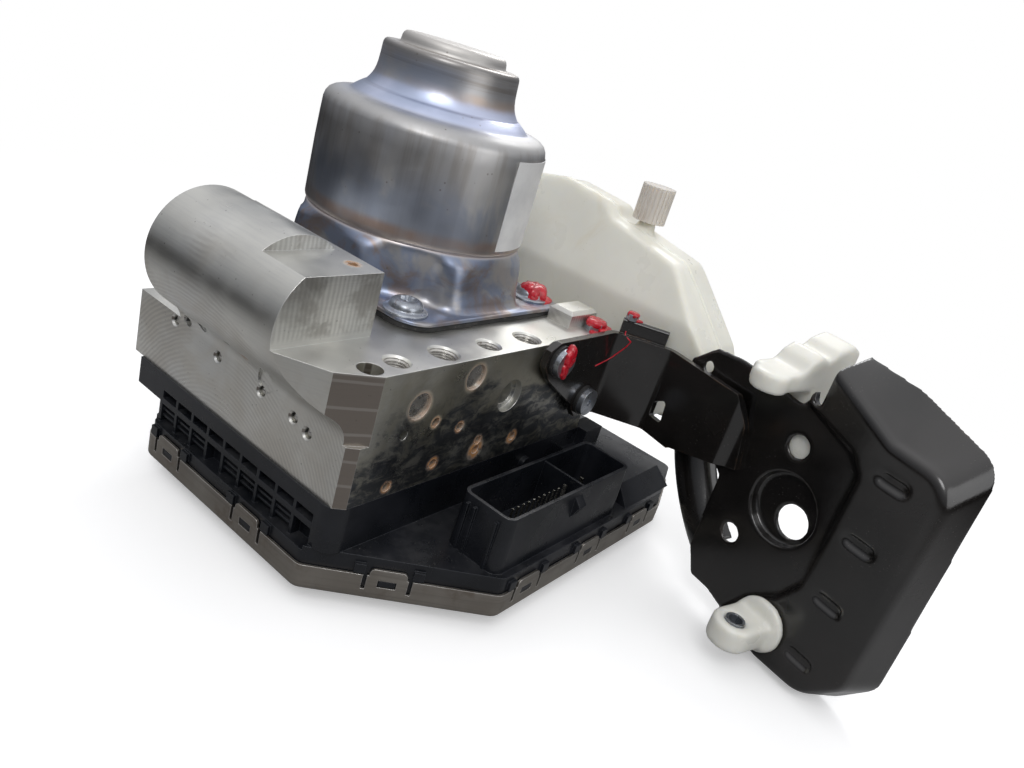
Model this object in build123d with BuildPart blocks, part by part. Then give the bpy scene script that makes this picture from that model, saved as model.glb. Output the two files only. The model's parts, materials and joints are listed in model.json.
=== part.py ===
from build123d import *
import os
from math import cos, radians, sin

# Electro-hydraulic brake unit. Millimetres, +Z up.
# The origin is the mouth of the master-cylinder bore in the rear face of the lobe.
# +X runs along the port face, +Y runs back along the bore, +Z along the motor.

# Valve block
BLOCK_LENGTH = 148
BLOCK_DEPTH = 129
BLOCK_HEIGHT = 50
BORE_INSET = 6.8
BORE_HEIGHT = 54.9
LOBE_DEPTH = 100.8
LOBE_RADIUS = 24.3
LOBE_CROWN = 18.9
LOBE_FLANK = 18.3
DECK_STEP = 27
POCKET_END = 49.5
REAR_LEDGE = 27
CORNER_FOOT = 24

# Datum faces of the block in the part's frame
BLOCK_LEFT = -BORE_INSET
BLOCK_FRONT = -LOBE_DEPTH
BLOCK_UNDER = -BORE_HEIGHT
DECK = BLOCK_UNDER + BLOCK_HEIGHT

# Hydraulic ports on the deck
PORT_ROW = 8.1
SMALL_PORT = 4.5
LARGE_PORT = 5.5
PORT_CHAMFER = 0.8
SMALL_PORT_PLACES = ((20.3, 15), (69.5, 17))
LARGE_PORT_PLACES = ((43.8, 16), (94.3, 18))
DECK_HOLE = (6.8, 6.6)
DECK_HOLE_RADIUS = 4.6
DECK_HOLE_DEPTH = 12
DECK_BOLT = (141.5, 4.6)
DECK_BOLT_RADIUS = 3
DECK_BOLT_DEPTH = 7

# Master cylinder
BORE_RADIUS = 11
BORE_DEPTH = 66
BORE_CLEARANCE = 0.05
PRIMARY_START = 2
PRIMARY_LENGTH = 18
SECONDARY_START = 36
SECONDARY_LENGTH = 16
SOCKET_RADIUS = 6
SOCKET_DEPTH = 9
SEAL_WIDTH = 3
SEAL_DEPTH = 2.6
SEAL_CLEARANCE = 0.04
RING_GAUGE = 1.4
RING_WALL = 2.4
FLANGE_CIRCLE = 37
FLANGE_HOLE = 2.5
FLANGE_HOLE_DEPTH = 14
FLANGE_HOLES = 3

# Motor
MOTOR_X = 89.1
MOTOR_Y = 77.4
CAN_RADIUS = 47
CAN_WALL = 2.5
CAN_NECK = 44
CAN_STEP = 26
CAN_SHOULDER = 66
SHOULDER_ROUND = 5
CONE_FOOT = 37
CONE_TOP = 28.5
CONE_HEIGHT = 79
CAP_RADIUS = 28
CAP_HEIGHT = 93
CAP_ROUND = 1.5
BUTTON_RADIUS = 21.5
BUTTON_HEIGHT = 98
BUTTON_ROUND = 2.4
LOBE_HALF = 23.4
LOBE_REACH = 47
LOBE_DRAFT = 5
LOBE_SETBACK = 0.3
SCALLOP_RADIUS = 19
GASKET_GAUGE = 1
FLANGE_GAUGE = 3
FLANGE_WIDTH = 100
FLANGE_DEPTH = 105.7
FLANGE_SHIFT_X = 1.9
FLANGE_SHIFT_Y = -2.25
FLANGE_ROUND = 12
SCREW_X = 39.8
SCREW_FRONT = -42
SCREW_REAR = 39
SCREW_RADIUS = 4
SCREW_CLEARANCE = 0.3
SCREW_HEAD = 8.5
SCREW_WASHER = 1.3
SCREW_DOME = 6.4
SCREW_HEAD_HEIGHT = 5
SCREW_SOCKET = 2.8
SCREW_DEPTH = 14

# Drive inside the motor
STATOR_BORE = 30
STATOR_FOOT = 30
STATOR_HEIGHT = 30
STATOR_CLEARANCE = 0.3
AIR_GAP = 0.7
HUB_RADIUS = 15
HUB_FOOT = 24
HUB_TOP = 80
SPINDLE_RADIUS = 10
PLUNGER_RADIUS = 16
PLUNGER_LENGTH = 22
PLUNGER_FLOOR = 8
PLUNGER_TRAVEL = 15
PLUNGER_RESERVE = 2
SPINDLE_TOP = 62
BEARING_HEIGHT = 9
BEARING_CLEARANCE = 0.05

# Solenoid valves under the block
VALVE_RADIUS = 6
VALVE_DEPTH = 24
VALVE_DOME = 4
VALVE_REACH = 16
VALVE_CLEARANCE = 0.05
COIL_SIZE = 18
COIL_HEIGHT = 14
COIL_CLEARANCE = 0.25
VALVE_PITCH = 24
VALVE_COUNT = 5
VALVE_FIRST = 26
VALVE_FRONT_ROW = 28
VALVE_REAR_ROW = 93
VALVE_REAR_PLACES = (26, 50, 128)

# Control housing and its cover
COVER_GAUGE = 1
COVER_TOP = -25.5
COVER_FLOOR = -36
COVER_LEFT = -4.5
COVER_FRONT = -43.8
COVER_REAR = 109
COVER_RIGHT = 204
COVER_CORNER = 52.4
HOUSING_FIT = 0.3
HOUSING_WALL = 3
HOUSING_DECK = 2
PLATEAU = -18.5
HOUSING_LEFT = -1
HOUSING_REAR = 122.7
HOUSING_LEDGE = -11.4
HOUSING_RIGHT = 150
WING_TOP = -9
WING_EDGE = 176.5
WING_FOOT = 182
WING_FRONT = -34
WING_FRONT_FOOT = -41
POST_SIZE = 10
POST_X = 157
WINDOW_PITCH = 10.7
WINDOW_WIDTH = 9.3
WINDOW_COUNT = 9
WINDOW_FIRST = 9.4
WINDOW_DEPTH = 4
WINDOW_LOW = -20.4
WINDOW_HIGH = -12.2
SLOT_LOW = -9.8
SLOT_HIGH = -6.2
LOUVRE_GAUGE = 0.9
LOUVRE_PLACES = (-15, -17.7)
PLAIN_WINDOWS = (0, 5)
SKIRT_ROUND = 7
KEY_PLACES = (-19.5, -23, -33.5)
KEY_WIDTH = 1.2
KEY_RISE = 1.6
LUG_X = 92
LUG_WIDTH = 5
NUB_PLACE = (108.5, -8.6)
NUB_RADIUS = 3
SHROUD_LEFT = 46.3
SHROUD_RIGHT = 132.5
SHROUD_FRONT = -38.8
SHROUD_BACK = -14.8
SHROUD_RIM = 5
SHROUD_WALL = 1.5
SHROUD_FLOOR = -15
SHROUD_ROUND = 4
DIVIDER_X = 98.3
DIVIDER_GAUGE = 1
PIN_ROW = -30
PIN_FIRST = 60
PIN_PITCH = 3.4
PIN_COUNT = 10
PIN_GAUGE = 0.7
PIN_TIP = 1
BLADE_GAUGE = 1.6
BLADE_PLACES = (53, 95.5, 108)
SNAP_WIDTH = 13.5
SNAP_RISE = 3
SNAP_WINDOW = 3
SNAP_SLIT = 1.5
SNAP_ROUND = 1.8
GUIDE_WIDTH = 4
GUIDE_REACH = 10.6
TRAY_ROUND = 6
TRAY_EDGE = 2
BOARD_GAUGE = 1.6
BOARD_HEIGHT = -31.5

# Bracket arm: one bent sheet on the port face
SHEET = 3
ARM_STAND_OFF = 1.5
ARM_BEND = 4
ARM_BEND_X = 145.5
ARM_TOP = 52.4
ARM_FOOT = 12
WING_ANGLE = 18
PLATE_X = 157.8
PLATE_Y = -26.7
ARM_REACH = 52.6
JOGGLE_START = 43
JOGGLE_END = 47
HEM_START = 1
HEM_LENGTH = 21.5
HEM_TOP = 59
HEM_SETBACK = 2.4
HEM_BOLT = 4.5
HEM_BOLT_RADIUS = 1
HEM_BOLT_HEAD = 2.9
BUSH_X = 103.2
BUSH_Z = 44.4
LOW_BUSH_X = 134.4
LOW_BUSH_Z = 20.6
BUSH_BORE = 2.9
BUSH_WAIST = 5.6
BUSH_FLANGE = 6.9
BUSH_HEAD = 6.2
BUSH_HEAD_HEIGHT = 2.6
BUSH_EAR = 9

# Drawn shield, measured along its own face from the arm's bend
SHIELD_GAUGE = 2
SHIELD_DEPTH = 19
PAN_CORNER = 12
PAN_EDGE = ((0, 3.5), (1, 1.1), (3.5, 0))
PANEL_DROP = 3
CUP_U = 77
CUP_Z = 20
CUP_RADIUS = 15
CUP_DROP = 4
SHIELD_HOLES = ((81, 16, 7), (60.2, -3.8, 4.1), (71.8, 45.8, 4.6), (17.6, 53.3, 2.4))
BEAD_U = 111.5
BEAD_TOP = 55
BEAD_PITCH = 27
BEAD_COUNT = 4
BEAD_LENGTH = 13
BEAD_WIDTH = 5.5
BEAD_DROP = 1.6

# Curved strut behind the arm
STRUT_RADIUS = 11

# White spacer behind the shield and its two ears
SPACER_GAP = 0.3
SPACER_DEPTH = 9
TOP_EAR_U = 60
TOP_EAR_Z = 73.6
TOP_EAR_WIDTH = 20
LOW_EAR_U = 90
LOW_EAR_Z = -21
PAD_PLACE = (92, -25)
PAD_RADIUS = 11.5
PAD_STEM = 8.5
PAD_RISE = 1
EAR_REACH = 13
EAR_RADIUS = 8.8
EAR_THICKNESS = 11
SLEEVE_RADIUS = 4
SLEEVE_BORE = 3
SLEEVE_CLEARANCE = 0.05

# Reservoir
TANK_WALL = 2.2
TANK_LEFT = 162.5
TANK_RIGHT = 200
TANK_SEAM = 180
TANK_BOTTOM = 15
TANK_ROUND = 6
SEAM_RISE = 2
SEAM_GAUGE = 2
NECK_RADIUS = 4.5
NECK_X = 187
NECK_Y = 20
NECK_TOP = 96
PORT_CAP_RADIUS = 8
PORT_CAP_HEIGHT = 17
PORT_CAP_RIBS = 24
SPIGOT_RADIUS = 5
SPIGOT_Z = 35
SPIGOT_PLACES = (60, 92)
GROMMET_RADIUS = 8
GROMMET_DEPTH = 8


def across(distance):
    """X of a place measured from the block's left face."""
    return BLOCK_LEFT + distance


def behind(distance):
    """Y of a place measured back from the port face."""
    return BLOCK_FRONT + distance


def above(distance):
    """Z of a place measured up from the block's underside."""
    return BLOCK_UNDER + distance


def on_front(x, z):
    """Plane on the port face, looking out of the block."""
    return Plane(origin=(across(x), BLOCK_FRONT, above(z)), x_dir=(1, 0, 0), z_dir=(0, -1, 0))


def on_left(y, z):
    """Plane on the block's left face, looking out of the block."""
    return Plane(origin=(BLOCK_LEFT, behind(y), above(z)), x_dir=(0, -1, 0), z_dir=(-1, 0, 0))


def on_deck(x, y):
    """Plane on the deck, looking up."""
    return Plane(origin=(across(x), behind(y), DECK), x_dir=(1, 0, 0), z_dir=(0, 0, 1))


def save(builder, name):
    """Label a finished piece and write it as a STEP file."""
    builder.part.label = name
    export_step(builder.part, f"parts/{name}.step")


os.makedirs("parts", exist_ok=True)

MOTOR_AXIS = (across(MOTOR_X), behind(MOTOR_Y))
SHIELD_TURN = radians(WING_ANGLE)
SHIELD_AWAY = Vector(cos(SHIELD_TURN), -sin(SHIELD_TURN), 0)
SHIELD_ALONG = Vector(-sin(SHIELD_TURN), -cos(SHIELD_TURN), 0)
SHIELD_PLANE = Plane(
    origin=(across(PLATE_X), behind(PLATE_Y), BLOCK_UNDER),
    x_dir=SHIELD_ALONG,
    z_dir=-SHIELD_AWAY,
)


# Valve block
PRESSED_LEFT = ((104.2, 24.2), (75.3, 22.3), (48.3, 21.6), (29.7, 20.8), (21.7, 18.9))
PRESSED_ROOT = ((95.5, 27.5), (84.5, 31.1), (46.2, 31.2))
PRESSED_RADIUS = 1.9
PRESSED_RIM = 2.6
PRESSED_SINK = 0.9
PRESSED_DEPTH = 6
ROOT_RISE = 2.8
OVAL_BORE = (58.3, 35.1)
OVAL_RADIUS = 3
ROUND_RECESS = (46.6, 26.6)
RECESS_RADIUS = 4.4
RECESS_DEPTH = 0.6
LOBE_ROOT = 10
SUNK_FRONT = ((28.4, 35.2), (56, 42.1))
SUNK_RADIUS = 5.2
SUNK_DEPTH = 3
SUNK_CORE = 2.6
STEPPED_FRONT = (82.1, 29.5)
STEPPED_RADIUS = 7.2
PLAIN_FRONT = ((39.4, 26.6), (54.4, 21.3), (23.5, 24.7), (69, 12))
PLAIN_RADIUS = 1.9
RUSTY_FRONT = ((21.4, 4.1), (44.1, 7.8), (69, 7.7), (92.9, 8.1))
PAD_CORNER = (127, 9.5)
PAD_SIZE = (21, 12.3, 7.2)

valve_places = [(across(VALVE_FIRST + VALVE_PITCH * i), behind(VALVE_FRONT_ROW)) for i in range(VALVE_COUNT)]
valve_places += [(across(x), behind(VALVE_REAR_ROW)) for x in VALVE_REAR_PLACES]
screw_places = [
    (MOTOR_AXIS[0] + side * SCREW_X, MOTOR_AXIS[1] + depth)
    for side in (-1, 1)
    for depth in (SCREW_FRONT, SCREW_REAR)
]
bush_places = [(BUSH_X, BUSH_Z), (LOW_BUSH_X, LOW_BUSH_Z)]

with BuildPart() as valve_block:
    with BuildSketch(Plane.XY.offset(BLOCK_UNDER)):
        with Locations((BLOCK_LEFT, BLOCK_FRONT)):
            Rectangle(BLOCK_LENGTH, BLOCK_DEPTH, align=(Align.MIN, Align.MIN))
    extrude(amount=BLOCK_HEIGHT)
    # The lobe of the master cylinder, round on the outside and square towards the motor
    with BuildSketch(Plane.XZ):
        Circle(LOBE_RADIUS)
        with Locations((0, DECK)):
            Rectangle(LOBE_FLANK, LOBE_CROWN - DECK, align=(Align.MIN, Align.MIN))
        with Locations((LOBE_FLANK, 0)):
            Rectangle(LOBE_RADIUS, 2 * LOBE_RADIUS, align=(Align.MIN, Align.CENTER), mode=Mode.SUBTRACT)
    extrude(amount=LOBE_DEPTH)
    lobe_root = valve_block.edges().filter_by(Axis.Y).filter_by_position(
        Axis.X, BLOCK_LEFT - 0.1, BLOCK_LEFT + 0.1
    ).filter_by_position(Axis.Z, -LOBE_RADIUS, -LOBE_RADIUS / 2)
    fillet(lobe_root, LOBE_ROOT)
    # Milled steps at the front of the lobe
    with BuildSketch(Plane.XY.offset(DECK)):
        with Locations((-LOBE_RADIUS - 1, BLOCK_FRONT)):
            Rectangle(2 * LOBE_RADIUS + 2, DECK_STEP, align=(Align.MIN, Align.MIN))
    extrude(amount=2 * LOBE_RADIUS, mode=Mode.SUBTRACT)
    with BuildSketch(Plane.XY.offset(LOBE_CROWN)):
        with Locations((-LOBE_RADIUS, BLOCK_FRONT)):
            Rectangle(2 * LOBE_RADIUS, POCKET_END, align=(Align.MIN, Align.MIN))
    extrude(amount=LOBE_RADIUS, mode=Mode.SUBTRACT)
    # The slanted front corner
    with BuildSketch(Plane.XY.offset(BLOCK_UNDER - 1)):
        with BuildLine():
            Polyline(
                (across(-17.6), behind(DECK_STEP)),
                (across(-7), behind(8.3)),
                (across(5.2), behind(-1)),
                (across(-26), behind(-1)),
                (across(-26), behind(DECK_STEP)),
                close=True,
            )
        make_face()
    extrude(amount=BLOCK_HEIGHT + 2 * LOBE_RADIUS, mode=Mode.SUBTRACT)
    with BuildSketch(Plane.XY.offset(above(CORNER_FOOT))):
        with BuildLine():
            Polyline(
                (across(-7), behind(8.3)),
                (across(9.4), behind(-1)),
                (across(-26), behind(-1)),
                (across(-26), behind(8.3)),
                close=True,
            )
        make_face()
    extrude(amount=BLOCK_HEIGHT + LOBE_RADIUS, mode=Mode.SUBTRACT)
    # The ledge behind the lobe
    with BuildSketch(Plane.XY.offset(above(REAR_LEDGE))):
        with Locations((BLOCK_LEFT - LOBE_RADIUS, 0)):
            Rectangle(
                LOBE_FLANK - BLOCK_LEFT + LOBE_RADIUS,
                BLOCK_DEPTH,
                align=(Align.MIN, Align.MIN),
            )
    extrude(amount=2 * BLOCK_HEIGHT, mode=Mode.SUBTRACT)
    # Raised pad beside the motor
    with BuildSketch(on_deck(*PAD_CORNER)):
        Rectangle(PAD_SIZE[0], PAD_SIZE[1], align=(Align.MIN, Align.MIN))
    extrude(amount=PAD_SIZE[2])
    pad_top = valve_block.faces().filter_by(Axis.Z).filter_by(
        lambda face: abs(face.center().Z - DECK - PAD_SIZE[2]) < 0.01
    )
    chamfer(pad_top.edges(), 1.6)
    # Ports and drillings
    for x, depth in SMALL_PORT_PLACES:
        with Locations(on_deck(x, PORT_ROW)):
            CounterSinkHole(SMALL_PORT, SMALL_PORT + PORT_CHAMFER, depth, 90)
    for x, depth in LARGE_PORT_PLACES:
        with Locations(on_deck(x, PORT_ROW)):
            CounterSinkHole(LARGE_PORT, LARGE_PORT + PORT_CHAMFER, depth, 90)
    with Locations(on_deck(*DECK_HOLE)):
        Hole(DECK_HOLE_RADIUS, DECK_HOLE_DEPTH)
    with Locations(Plane(origin=(across(18.4), behind(35.8), LOBE_CROWN))):
        Hole(1.8, 6)
    with Locations(*[on_left(y, z) for y, z in PRESSED_LEFT]):
        CounterSinkHole(PRESSED_RADIUS, PRESSED_RIM, PRESSED_DEPTH, 90)
    with Locations(*[on_left(y, z).offset(ROOT_RISE) for y, z in PRESSED_ROOT]):
        Hole(PRESSED_RIM, ROOT_RISE)
        Hole(PRESSED_RADIUS, PRESSED_DEPTH + ROOT_RISE)
    with Locations(on_left(*OVAL_BORE).offset(LOBE_RADIUS / 2)):
        Hole(OVAL_RADIUS, LOBE_RADIUS / 2 + 4)
    with BuildSketch(on_left(*ROUND_RECESS).offset(LOBE_RADIUS / 2)):
        Circle(RECESS_RADIUS)
    extrude(amount=-LOBE_RADIUS / 2 - RECESS_DEPTH, mode=Mode.SUBTRACT)
    with Locations(*[on_front(x, z) for x, z in SUNK_FRONT]):
        CounterBoreHole(SUNK_CORE, SUNK_RADIUS, SUNK_DEPTH, SUNK_DEPTH + 8)
    with Locations(on_front(*STEPPED_FRONT)):
        CounterBoreHole(STEPPED_RADIUS - 2.4, STEPPED_RADIUS, SUNK_DEPTH, SUNK_DEPTH + 9)
    with Locations(*[on_front(x, z) for x, z in PLAIN_FRONT]):
        Hole(PLAIN_RADIUS, 5)
    with Locations(*[on_front(x, z) for x, z in RUSTY_FRONT]):
        Hole(PLAIN_RADIUS, 5)
    with Locations(*[on_front(x, z) for x, z in bush_places]):
        Hole(BUSH_BORE, SCREW_DEPTH)
    with Locations(*[Plane(origin=(x, y, DECK)) for x, y in screw_places]):
        Hole(SCREW_RADIUS, SCREW_DEPTH - FLANGE_GAUGE)
    with Locations(on_deck(*DECK_BOLT)):
        Hole(DECK_BOLT_RADIUS, DECK_BOLT_DEPTH + 1)
    # Bore of the plunger under the motor
    with Locations(Plane(origin=(*MOTOR_AXIS, DECK))):
        Hole(PLUNGER_RADIUS, BLOCK_HEIGHT - PLUNGER_FLOOR)
    # Master-cylinder bore and the tapped holes round it
    with Locations(Plane(origin=(0, 0, 0), x_dir=(1, 0, 0), z_dir=(0, 1, 0))):
        Hole(BORE_RADIUS, BORE_DEPTH)
    with Locations(Plane(origin=(0, 0, 0), x_dir=(1, 0, 0), z_dir=(0, 1, 0))):
        with PolarLocations(FLANGE_CIRCLE / 2, FLANGE_HOLES, start_angle=60):
            Hole(FLANGE_HOLE, FLANGE_HOLE_DEPTH)
    # Valve bores in the underside and the inlets of the reservoir in the right face
    with Locations(*[Plane(origin=(x, y, BLOCK_UNDER), z_dir=(0, 0, -1)) for x, y in valve_places]):
        Hole(VALVE_RADIUS, VALVE_DEPTH)
    inlet_planes = [
        Plane(
            origin=(across(BLOCK_LENGTH), behind(y), above(SPIGOT_Z)),
            x_dir=(0, 1, 0),
            z_dir=(1, 0, 0),
        )
        for y in SPIGOT_PLACES
    ]
    with Locations(*inlet_planes):
        Hole(GROMMET_RADIUS, GROMMET_DEPTH)
save(valve_block, "valve_block")

with BuildPart() as sealing_balls:
    left_seats = [on_left(y, z).offset(-PRESSED_RADIUS - PRESSED_SINK) for y, z in PRESSED_LEFT + PRESSED_ROOT]
    with Locations(*left_seats):
        Sphere(PRESSED_RADIUS - SEAL_CLEARANCE)
save(sealing_balls, "sealing_balls")

with BuildPart() as port_plugs:
    plug_seats = [on_front(x, z).offset(-1) for x, z in SUNK_FRONT]
    with Locations(*plug_seats):
        Cylinder(SUNK_RADIUS - SEAL_CLEARANCE, SUNK_DEPTH - 1, align=(Align.CENTER, Align.CENTER, Align.MAX))
save(port_plugs, "port_plugs")


# Master cylinder
def piston(start, length, socket):
    """A piston that starts behind the bore's mouth, with a groove for its seal."""
    radius = BORE_RADIUS - BORE_CLEARANCE
    groove = start + length - SEAL_WIDTH - 3
    with BuildPart() as body:
        with BuildSketch(Plane.XZ.offset(start)):
            Circle(radius)
        extrude(amount=length)
        with BuildSketch(Plane.XZ.offset(groove)):
            Circle(radius)
            Circle(radius - SEAL_DEPTH, mode=Mode.SUBTRACT)
        extrude(amount=SEAL_WIDTH, mode=Mode.SUBTRACT)
        if socket:
            with BuildSketch(Plane.XZ.offset(start)):
                Circle(SOCKET_RADIUS)
            extrude(amount=SOCKET_DEPTH, mode=Mode.SUBTRACT)
            with BuildSketch(Plane.XZ.offset(start)):
                Circle(SOCKET_RADIUS + 2)
            extrude(amount=2, taper=45, mode=Mode.SUBTRACT)
    return body


def piston_seal(start, length):
    """The rubber ring in the groove of the piston."""
    radius = BORE_RADIUS - BORE_CLEARANCE
    groove = start + length - SEAL_WIDTH - 3
    with BuildPart() as ring:
        with BuildSketch(Plane.XZ.offset(groove + SEAL_CLEARANCE)):
            Circle(radius)
            Circle(radius - SEAL_DEPTH + SEAL_CLEARANCE, mode=Mode.SUBTRACT)
        extrude(amount=SEAL_WIDTH - 2 * SEAL_CLEARANCE)
    return ring


save(piston(PRIMARY_START, PRIMARY_LENGTH, True), "primary_piston")
save(piston_seal(PRIMARY_START, PRIMARY_LENGTH), "primary_seal")
save(piston(SECONDARY_START, SECONDARY_LENGTH, False), "secondary_piston")
save(piston_seal(SECONDARY_START, SECONDARY_LENGTH), "secondary_seal")

with BuildPart() as retaining_ring:
    with BuildSketch(Plane.XZ.offset(PRIMARY_START - RING_GAUGE - SEAL_CLEARANCE)):
        Circle(BORE_RADIUS - SEAL_CLEARANCE)
        Circle(BORE_RADIUS - RING_WALL, mode=Mode.SUBTRACT)
    extrude(amount=RING_GAUGE)
save(retaining_ring, "retaining_ring")


# Motor
MOTOR_LINE = Axis((*MOTOR_AXIS, DECK), (0, 0, 1))
MOTOR_SECTION = Plane(origin=(*MOTOR_AXIS, DECK), x_dir=(1, 0, 0), z_dir=(0, -1, 0))


def can_body(inset):
    """The drawn can, or with an inset the space inside it."""
    foot = CAN_STEP + inset
    radius = CAN_RADIUS - inset
    shoulder = CAN_SHOULDER - inset
    cap = CAP_RADIUS - inset
    crown = CAP_HEIGHT - inset
    button = BUTTON_RADIUS - inset
    with BuildPart() as body:
        with BuildSketch(Plane.XY.offset(DECK + GASKET_GAUGE)):
            with Locations(MOTOR_AXIS):
                Rectangle(2 * (LOBE_HALF - inset), 2 * (LOBE_REACH - inset))
                Rectangle(2 * (LOBE_REACH - inset), 2 * (LOBE_HALF - inset))
        extrude(amount=foot - GASKET_GAUGE, taper=LOBE_DRAFT)
        with BuildSketch(Plane.XY.offset(DECK + GASKET_GAUGE)):
            with Locations(MOTOR_AXIS):
                Circle(CAN_NECK - inset)
        extrude(amount=foot - GASKET_GAUGE)
        with BuildSketch(Plane.XY.offset(DECK + GASKET_GAUGE)):
            with Locations(MOTOR_AXIS):
                Circle(CAN_RADIUS - LOBE_SETBACK - inset)
        extrude(amount=foot - GASKET_GAUGE, mode=Mode.INTERSECT)
        with BuildSketch(Plane.XY.offset(DECK + GASKET_GAUGE)):
            with Locations(*screw_places):
                Circle(SCALLOP_RADIUS + inset)
        extrude(amount=foot - GASKET_GAUGE, mode=Mode.SUBTRACT)
        with BuildSketch(MOTOR_SECTION):
            with BuildLine():
                Line((0, foot), (radius, foot))
                Line((radius, foot), (radius, shoulder))
                CenterArc((radius - SHOULDER_ROUND, shoulder), SHOULDER_ROUND, 0, 90)
                Polyline(
                    (radius - SHOULDER_ROUND, shoulder + SHOULDER_ROUND),
                    (CONE_FOOT - inset, shoulder + SHOULDER_ROUND + 0.5),
                    (CONE_TOP + 4.5 - inset, CONE_HEIGHT - 4 - inset),
                    (CONE_TOP + 3 - inset, CONE_HEIGHT - 3.4 - inset),
                    (CONE_TOP + 0.5 - inset, CONE_HEIGHT - inset),
                    (cap, CONE_HEIGHT + 2 - inset),
                    (cap, crown - CAP_ROUND),
                )
                CenterArc((cap - CAP_ROUND, crown - CAP_ROUND), CAP_ROUND, 0, 90)
                Polyline(
                    (cap - CAP_ROUND, crown),
                    (button, crown),
                    (button, BUTTON_HEIGHT - inset - BUTTON_ROUND),
                )
                CenterArc((button - BUTTON_ROUND, BUTTON_HEIGHT - inset - BUTTON_ROUND), BUTTON_ROUND, 0, 90)
                Polyline(
                    (button - BUTTON_ROUND, BUTTON_HEIGHT - inset),
                    (0, BUTTON_HEIGHT - inset),
                    (0, foot),
                )
            make_face()
        revolve(axis=MOTOR_LINE)
    return body.part


def flange_sheet(foot, gauge, inset):
    """The square flange of the can or the gasket under it, without its middle hole."""
    with BuildPart() as sheet:
        with BuildSketch(Plane.XY.offset(DECK + foot)):
            with Locations((MOTOR_AXIS[0] + FLANGE_SHIFT_X, MOTOR_AXIS[1] + FLANGE_SHIFT_Y)):
                RectangleRounded(FLANGE_WIDTH - 2 * inset, FLANGE_DEPTH - 2 * inset, FLANGE_ROUND - inset)
            with Locations(*screw_places):
                Circle(SCREW_RADIUS + SCREW_CLEARANCE, mode=Mode.SUBTRACT)
        extrude(amount=gauge)
    return sheet.part


can_flange = flange_sheet(GASKET_GAUGE, FLANGE_GAUGE, 0)
can_outside = can_body(0)
can_inside = can_body(CAN_WALL)
with BuildPart() as motor_can:
    add(can_outside)
    add(can_flange)
    add(can_inside, mode=Mode.SUBTRACT)
save(motor_can, "motor_can")

gasket_sheet = flange_sheet(0, GASKET_GAUGE, 1)
with BuildPart() as motor_gasket:
    add(gasket_sheet)
    with BuildSketch(Plane.XY.offset(DECK)):
        with Locations(MOTOR_AXIS):
            Circle(PLUNGER_RADIUS + 6)
    extrude(amount=GASKET_GAUGE, mode=Mode.SUBTRACT)
save(motor_gasket, "motor_gasket")

with BuildPart() as motor_screws:
    seat = DECK + GASKET_GAUGE + FLANGE_GAUGE
    for x, y in screw_places:
        with BuildSketch(Plane(origin=(x, y, seat))):
            Circle(SCREW_HEAD)
        extrude(amount=SCREW_WASHER)
        with BuildSketch(Plane(origin=(x, y, seat + SCREW_WASHER))):
            Circle(SCREW_DOME)
        extrude(amount=SCREW_HEAD_HEIGHT - SCREW_WASHER, taper=20)
        with BuildSketch(Plane(origin=(x, y, seat))):
            Circle(SCREW_RADIUS - SEAL_CLEARANCE)
        extrude(amount=-SCREW_DEPTH)
        with BuildSketch(Plane(origin=(x, y, seat + SCREW_HEAD_HEIGHT))):
            RegularPolygon(SCREW_SOCKET, 6)
        extrude(amount=-SCREW_HEAD_HEIGHT / 2, mode=Mode.SUBTRACT)
save(motor_screws, "motor_screws")

with BuildPart() as motor_stator:
    with BuildSketch(Plane.XY.offset(DECK + STATOR_FOOT)):
        with Locations(MOTOR_AXIS):
            Circle(CAN_RADIUS - CAN_WALL - STATOR_CLEARANCE)
            Circle(STATOR_BORE, mode=Mode.SUBTRACT)
    extrude(amount=STATOR_HEIGHT)
save(motor_stator, "motor_stator")

with BuildPart() as motor_rotor:
    with BuildSketch(Plane.XY.offset(DECK + STATOR_FOOT)):
        with Locations(MOTOR_AXIS):
            Circle(STATOR_BORE - AIR_GAP)
    extrude(amount=STATOR_HEIGHT)
    with BuildSketch(Plane.XY.offset(DECK + HUB_FOOT)):
        with Locations(MOTOR_AXIS):
            Circle(HUB_RADIUS)
    extrude(amount=HUB_TOP - HUB_FOOT)
    with BuildSketch(Plane.XY.offset(DECK + HUB_FOOT)):
        with Locations(MOTOR_AXIS):
            Circle(SPINDLE_RADIUS + BEARING_CLEARANCE)
    extrude(amount=HUB_TOP - HUB_FOOT, mode=Mode.SUBTRACT)
save(motor_rotor, "motor_rotor")

with BuildPart() as motor_bearing:
    with BuildSketch(Plane.XY.offset(DECK + HUB_TOP - BEARING_HEIGHT + 4)):
        with Locations(MOTOR_AXIS):
            Circle(CAP_RADIUS - CAN_WALL - BEARING_CLEARANCE)
            Circle(HUB_RADIUS + BEARING_CLEARANCE, mode=Mode.SUBTRACT)
    extrude(amount=BEARING_HEIGHT)
save(motor_bearing, "motor_bearing")

with BuildPart() as plunger:
    plunger_foot = above(PLUNGER_FLOOR + PLUNGER_TRAVEL + PLUNGER_RESERVE)
    with BuildSketch(Plane.XY.offset(plunger_foot)):
        with Locations(MOTOR_AXIS):
            Circle(PLUNGER_RADIUS - BORE_CLEARANCE)
    extrude(amount=PLUNGER_LENGTH)
    with BuildSketch(Plane.XY.offset(plunger_foot)):
        with Locations(MOTOR_AXIS):
            Circle(SPINDLE_RADIUS)
    extrude(amount=DECK + SPINDLE_TOP - plunger_foot)
save(plunger, "plunger")

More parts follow.
